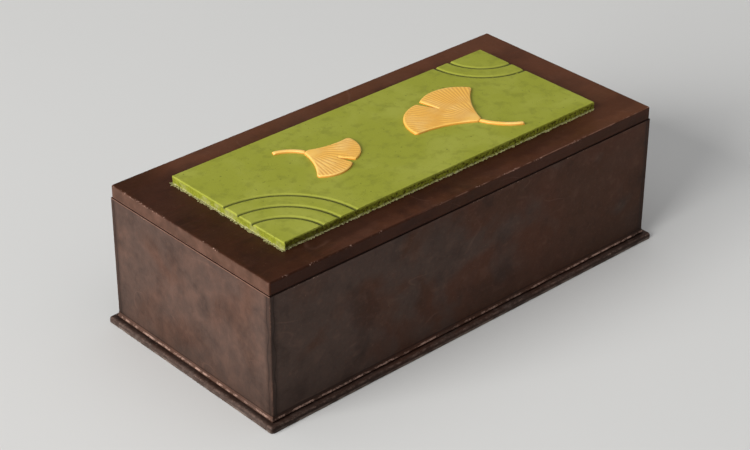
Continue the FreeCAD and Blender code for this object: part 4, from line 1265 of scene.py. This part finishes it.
class INKBOX_OT_stage(bpy.types.Operator):
    """Lay the floor, hang the lamps and set up the camera"""

    bl_idname = "ink_box.stage"
    bl_label = "Stage"

    def execute(self, context):
        studio = context.scene.ink_box_studio
        colours = context.scene.ink_box_colours
        context.scene.view_settings.view_transform = "Standard"
        place_camera(studio)
        fill_air(colours)
        size = studio.key_size
        hang_lamp("key_lamp", KEY_PLACE, size, size * 0.7, studio.key_power)
        size = studio.fill_size
        hang_lamp("fill_lamp", FILL_PLACE, size, size, studio.fill_power)
        mesh = bpy.data.meshes.new("studio_floor")
        shape = bmesh.new()
        bmesh.ops.create_circle(shape, cap_ends=True, segments=FLOOR_SIDES, radius=studio.floor_radius)
        shape.to_mesh(mesh)
        shape.free()
        mesh.materials.append(floor_finish(colours))
        floor = bpy.data.objects.new("studio_floor", mesh)
        context.scene.collection.objects.link(floor)
        return {"FINISHED"}


class INKBOX_OT_base(bpy.types.Operator):
    """Make the papered plinth with its groove and the step with its bead"""

    bl_idname = "ink_box.base"
    bl_label = "Base boards"

    def execute(self, context):
        colours = context.scene.ink_box_colours
        sizes = context.scene.ink_box_sizes
        low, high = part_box("plinth_board")
        step_low, step_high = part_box("step_board")
        reach = (high.x - step_high.x) / MM
        # Painted shade on the front side and in the ledge beside the step; a little painted sheen on the
        # end faces.
        look = Look(
            colours.plinth_lacquer, colours.lacquer_dark_and_shade, colours.bare_board,
            red=0.3, grey=0.7, front=0.8, end=0.06, bloom=0.12, grain=3.5, wear=0.2, chips=0.35,
            corner_wear=0.5, bead=0.1, bare_foot=0.45, shade_share=0.45,
            ledge=(reach - 0.6, reach - 0.1),
        )
        finish = lacquered("plinth_lacquer", colours, low, high, look)
        nose = high.z / 2
        foot_round = nose / 3
        valley = step_low.z - sizes.groove_depth
        inner = step_high.x - high.x
        arc = [math.radians(18 * index - 90) for index in range(6)]
        profile = [(foot_round * (math.cos(t) - 1), foot_round * (1 + math.sin(t)), 0.0) for t in arc]
        arc = [math.radians(15 * index) for index in range(7)]
        worn = [smooth(t, 0.3, 0.8) * smooth(t, 1.4, 1.0) for t in arc]
        profile += [(nose * (math.cos(t) - 1), nose * (1 + math.sin(t)), w) for t, w in zip(arc, worn)]
        profile += [(inner + 0.7 * MM, (high.z + 2 * valley) / 3, 0.0), (inner - 1.0 * MM, valley, 0.0)]
        make_moulding("papered_plinth", "plinth_board", sizes.plinth_corner, profile, sizes, finish)
        foot = step_low.z / MM
        # Painted shade on the front side and at the foot; a little painted sheen on the end faces.
        look = Look(
            colours.lacquer, colours.lacquer_dark_and_shade, colours.lacquer_worn_and_sheen,
            front=0.75, end=0.1, wear=0.0, chips=0.0, bead=0.5, shade_share=0.45,
            foot=(foot + 0.5, foot),
        )
        finish = lacquered("step_lacquer", colours, step_low, step_high, look)
        bead = sizes.bead_radius
        middle = step_low.z + sizes.bead_height
        arc = [math.radians(20 * index - 60) for index in range(7)]
        worn = [smooth(t, -0.5, 0.3) for t in arc]
        profile = [(-bead, valley, 0.0), (-bead, middle - 1.3 * bead, 0.0)]
        profile += [(bead * (math.cos(t) - 1), middle + bead * math.sin(t), w) for t, w in zip(arc, worn)]
        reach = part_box("right_wall")[1].x - step_high.x
        top = middle + bead
        for share, worn in ((0.12, 0.8), (0.4, 0.2), (0.7, 0.0), (1.0, 0.0)):
            slope = -0.75 * bead + (reach + 0.75 * bead) * share
            profile.append((slope, top + (step_high.z - top) * share, worn))
        make_moulding("papered_step", "step_board", sizes.step_corner, profile, sizes, finish)
        return {"FINISHED"}


class INKBOX_OT_walls(bpy.types.Operator):
    """Finish the four walls as one papered shell"""

    bl_idname = "ink_box.walls"
    bl_label = "Walls"

    def execute(self, context):
        colours = context.scene.ink_box_colours
        walls = ["front_wall", "back_wall", "left_wall", "right_wall"]
        boxes = [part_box(wall) for wall in walls]
        low = Vector([min(box[0][axis] for box in boxes) for axis in range(3)])
        high = Vector([max(box[1][axis] for box in boxes) for axis in range(3)])
        foot, top = low.z / MM, high.z / MM
        # Darker towards the bottom; painted sheen on the end faces; painted shade at the foot and in the
        # seam under the lid, with a pale painted highlight in that seam on the end faces.
        look = Look(
            colours.lacquer, colours.lacquer_dark_and_shade, colours.lacquer_worn_and_sheen,
            red=0.38, grey=0.8, grey_run=-1.1, stain=0.38, bloom=0.08, end=0.12, foot_darkening=40 * MM,
            lap=0.5, wear=0.3, chips=0.6, corner_wear=0.2, shade_share=0.6,
            foot=(foot + 0.9, foot + 0.3), seam=(top - 0.6, top - 0.15),
        )
        dress(walls, lacquered("wall_lacquer", colours, low, high, look))
        return {"FINISHED"}


class INKBOX_OT_lid(bpy.types.Operator):
    """Finish the lid board, the strips under it and its lining"""

    bl_idname = "ink_box.lid"
    bl_label = "Lid"

    def execute(self, context):
        colours = context.scene.ink_box_colours
        low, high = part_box("lid_board")
        foot = low.z / MM
        # Painted shade on the front side, beside the panel and along the lower edge; painted sheen on the
        # end faces and on the top towards the right and back.
        look = Look(
            colours.lid_lacquer, colours.lid_shade, colours.lacquer_worn_and_sheen,
            seed=4.7, grey=0.15, strokes=0.6, bloom=0.05, front=0.8, end=0.2, panel_shade=0.6, line=0.6,
            seam=(foot + 0.7, foot + 0.2), painted_sheen=0.2, streak=(12, 1.2, 1), reach=0.8, chips=0.45,
        )
        dress(["lid_board"], lacquered("lid_lacquer", colours, low, high, look))
        long_wood = grained_wood("rim_wood_long", colours.inner_wood, colours.inner_grain, 0, seed=1.0)
        end_wood = grained_wood("rim_wood_end", colours.inner_wood, colours.inner_grain, 1, seed=2.0)
        dress(["lid_rim_front", "lid_rim_back"], long_wood)
        dress(["lid_rim_left", "lid_rim_right"], end_wood)
        dress(["lid_lining"], lining_paper(colours))
        return {"FINISHED"}


class INKBOX_OT_panel(bpy.types.Operator):
    """Make the raised panel with its incised arcs"""

    bl_idname = "ink_box.panel"
    bl_label = "Panel"

    def execute(self, context):
        low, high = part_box("lid_panel")
        finish = panel_paper(context.scene.ink_box_colours, low, high)
        make_panel(context.scene.ink_box_sizes, finish)
        return {"FINISHED"}


class INKBOX_OT_leaves(bpy.types.Operator):
    """Make the two raised leaves with their veins and stalks"""

    bl_idname = "ink_box.leaves"
    bl_label = "Leaves"

    def execute(self, context):
        sizes = context.scene.ink_box_sizes
        finish = leaf_paper(context.scene.ink_box_colours)
        low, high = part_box("lid_panel")
        large_foot = Vector(
            (high.x - sizes.large_leaf_from_right, low.y + sizes.large_leaf_from_front)
        )
        small_foot = Vector(
            (low.x + sizes.small_leaf_from_left, low.y + sizes.small_leaf_from_front)
        )
        large = fan_veins(large_foot, sizes.large_leaf_turn, sizes.vein_spread, sizes)
        small = fan_veins(small_foot, sizes.small_leaf_turn, sizes.vein_spread * 1.3, sizes)
        make_relief("carved_large_leaf", "large_leaf", sizes, finish, large)
        make_relief("carved_small_leaf", "small_leaf", sizes, finish, small)
        make_relief("carved_large_stalk", "large_stalk", sizes, finish)
        make_relief("carved_small_stalk", "small_stalk", sizes, finish)
        return {"FINISHED"}


class INKBOX_OT_inside(bpy.types.Operator):
    """Finish the floor, its felt, the bed board and the tray's rests"""

    bl_idname = "ink_box.inside"
    bl_label = "Inside boards"

    def execute(self, context):
        colours = context.scene.ink_box_colours
        light, dark = colours.inner_wood, colours.inner_grain
        dress(["floor_board", "bed_board"], grained_wood("bed_wood", light, dark, 0, seed=3.0))
        dress(["tray_rest_left", "tray_rest_right"], grained_wood("rest_wood", light, dark, 1, seed=4.0))
        dress(["floor_lining"], felt_cloth(colours))
        return {"FINISHED"}


class INKBOX_OT_tray(bpy.types.Operator):
    """Finish the lift-out tray"""

    bl_idname = "ink_box.tray"
    bl_label = "Tray"

    def execute(self, context):
        colours = context.scene.ink_box_colours
        light, dark = colours.tray_wood, colours.tray_grain
        woods = (
            ("tray_wood_long", 0, 5.0, ("tray_base", "tray_wall_front", "tray_wall_back", "tray_divider")),
            ("tray_wood_end", 1, 6.0, ("tray_wall_left", "tray_wall_right")),
            ("bar_wood", 1, 7.0, ("brush_bar_left", "brush_bar_right")),
        )
        for name, along, seed, pieces in woods:
            dress(pieces, grained_wood(name, light, dark, along, seed=seed))
        return {"FINISHED"}


class INKBOX_OT_inkstone(bpy.types.Operator):
    """Finish the inkstone"""

    bl_idname = "ink_box.inkstone"
    bl_label = "Inkstone"

    def execute(self, context):
        low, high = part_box("inkstone")
        dress(["inkstone"], honed_slate(context.scene.ink_box_colours, low, high))
        return {"FINISHED"}


class INKBOX_OT_ink_stick(bpy.types.Operator):
    """Finish the ink stick"""

    bl_idname = "ink_box.ink_stick"
    bl_label = "Ink stick"

    def execute(self, context):
        dress(["ink_stick"], pressed_ink(context.scene.ink_box_colours))
        return {"FINISHED"}


class INKBOX_OT_water_dropper(bpy.types.Operator):
    """Finish the water dropper's cup and cover"""

    bl_idname = "ink_box.water_dropper"
    bl_label = "Water dropper"

    def execute(self, context):
        finish = crackled_glaze(context.scene.ink_box_colours)
        dress(["water_dropper_cup", "water_dropper_cover"], finish)
        return {"FINISHED"}


class INKBOX_OT_brushes(bpy.types.Operator):
    """Make the two brushes: cane handles, horn caps and collars, and hair"""

    bl_idname = "ink_box.brushes"
    bl_label = "Brushes"

    def execute(self, context):
        colours = context.scene.ink_box_colours
        sizes = context.scene.ink_box_sizes
        cane = split_bamboo(colours)
        horn = polished_horn(colours)
        brushes = (
            ("large_brush", (0.17, 0.52, 0.83), sizes.large_strands, 11),
            ("small_brush", (0.29, 0.68), sizes.small_strands, 12),
        )
        for brush, joints, strands, seed in brushes:
            make_handle(brush, cane, joints)
            make_horn(brush, "cap", sizes, horn)
            make_horn(brush, "collar", sizes, horn)
            make_hair(brush, colours, sizes, strands, seed)
        return {"FINISHED"}


STEPS = (
    INKBOX_OT_stage,
    INKBOX_OT_base,
    INKBOX_OT_walls,
    INKBOX_OT_lid,
    INKBOX_OT_panel,
    INKBOX_OT_leaves,
    INKBOX_OT_inside,
    INKBOX_OT_tray,
    INKBOX_OT_inkstone,
    INKBOX_OT_ink_stick,
    INKBOX_OT_water_dropper,
    INKBOX_OT_brushes,
)


class INKBOX_PT_steps(bpy.types.Panel):
    """Steps that make the ink box, with its sizes and colours"""

    bl_idname = "INKBOX_PT_steps"
    bl_label = "Ink Box"
    bl_space_type = "VIEW_3D"
    bl_region_type = "UI"
    bl_category = "Ink Box"

    def draw(self, context):
        for step in STEPS:
            self.layout.operator(step.bl_idname)
        scene = context.scene
        for group in (scene.ink_box_sizes, scene.ink_box_colours, scene.ink_box_studio):
            column = self.layout.column()
            for name in group.bl_rna.properties.keys():
                if name not in ("rna_type", "name"):
                    column.prop(group, name)


CLASSES = (InkBoxColours, InkBoxSizes, InkBoxStudio, *STEPS, INKBOX_PT_steps)


def register():
    for item in CLASSES:
        bpy.utils.register_class(item)
    bpy.types.Scene.ink_box_colours = bpy.props.PointerProperty(type=InkBoxColours)
    bpy.types.Scene.ink_box_sizes = bpy.props.PointerProperty(type=InkBoxSizes)
    bpy.types.Scene.ink_box_studio = bpy.props.PointerProperty(type=InkBoxStudio)


def unregister():
    del bpy.types.Scene.ink_box_studio
    del bpy.types.Scene.ink_box_sizes
    del bpy.types.Scene.ink_box_colours
    for item in reversed(CLASSES):
        bpy.utils.unregister_class(item)


def main():
    register()
    bpy.ops.ink_box.stage()
    bpy.ops.ink_box.base()
    bpy.ops.ink_box.walls()
    bpy.ops.ink_box.lid()
    bpy.ops.ink_box.panel()
    bpy.ops.ink_box.leaves()
    bpy.ops.ink_box.inside()
    bpy.ops.ink_box.tray()
    bpy.ops.ink_box.inkstone()
    bpy.ops.ink_box.ink_stick()
    bpy.ops.ink_box.water_dropper()
    bpy.ops.ink_box.brushes()


if __name__ == "__main__":
    main()
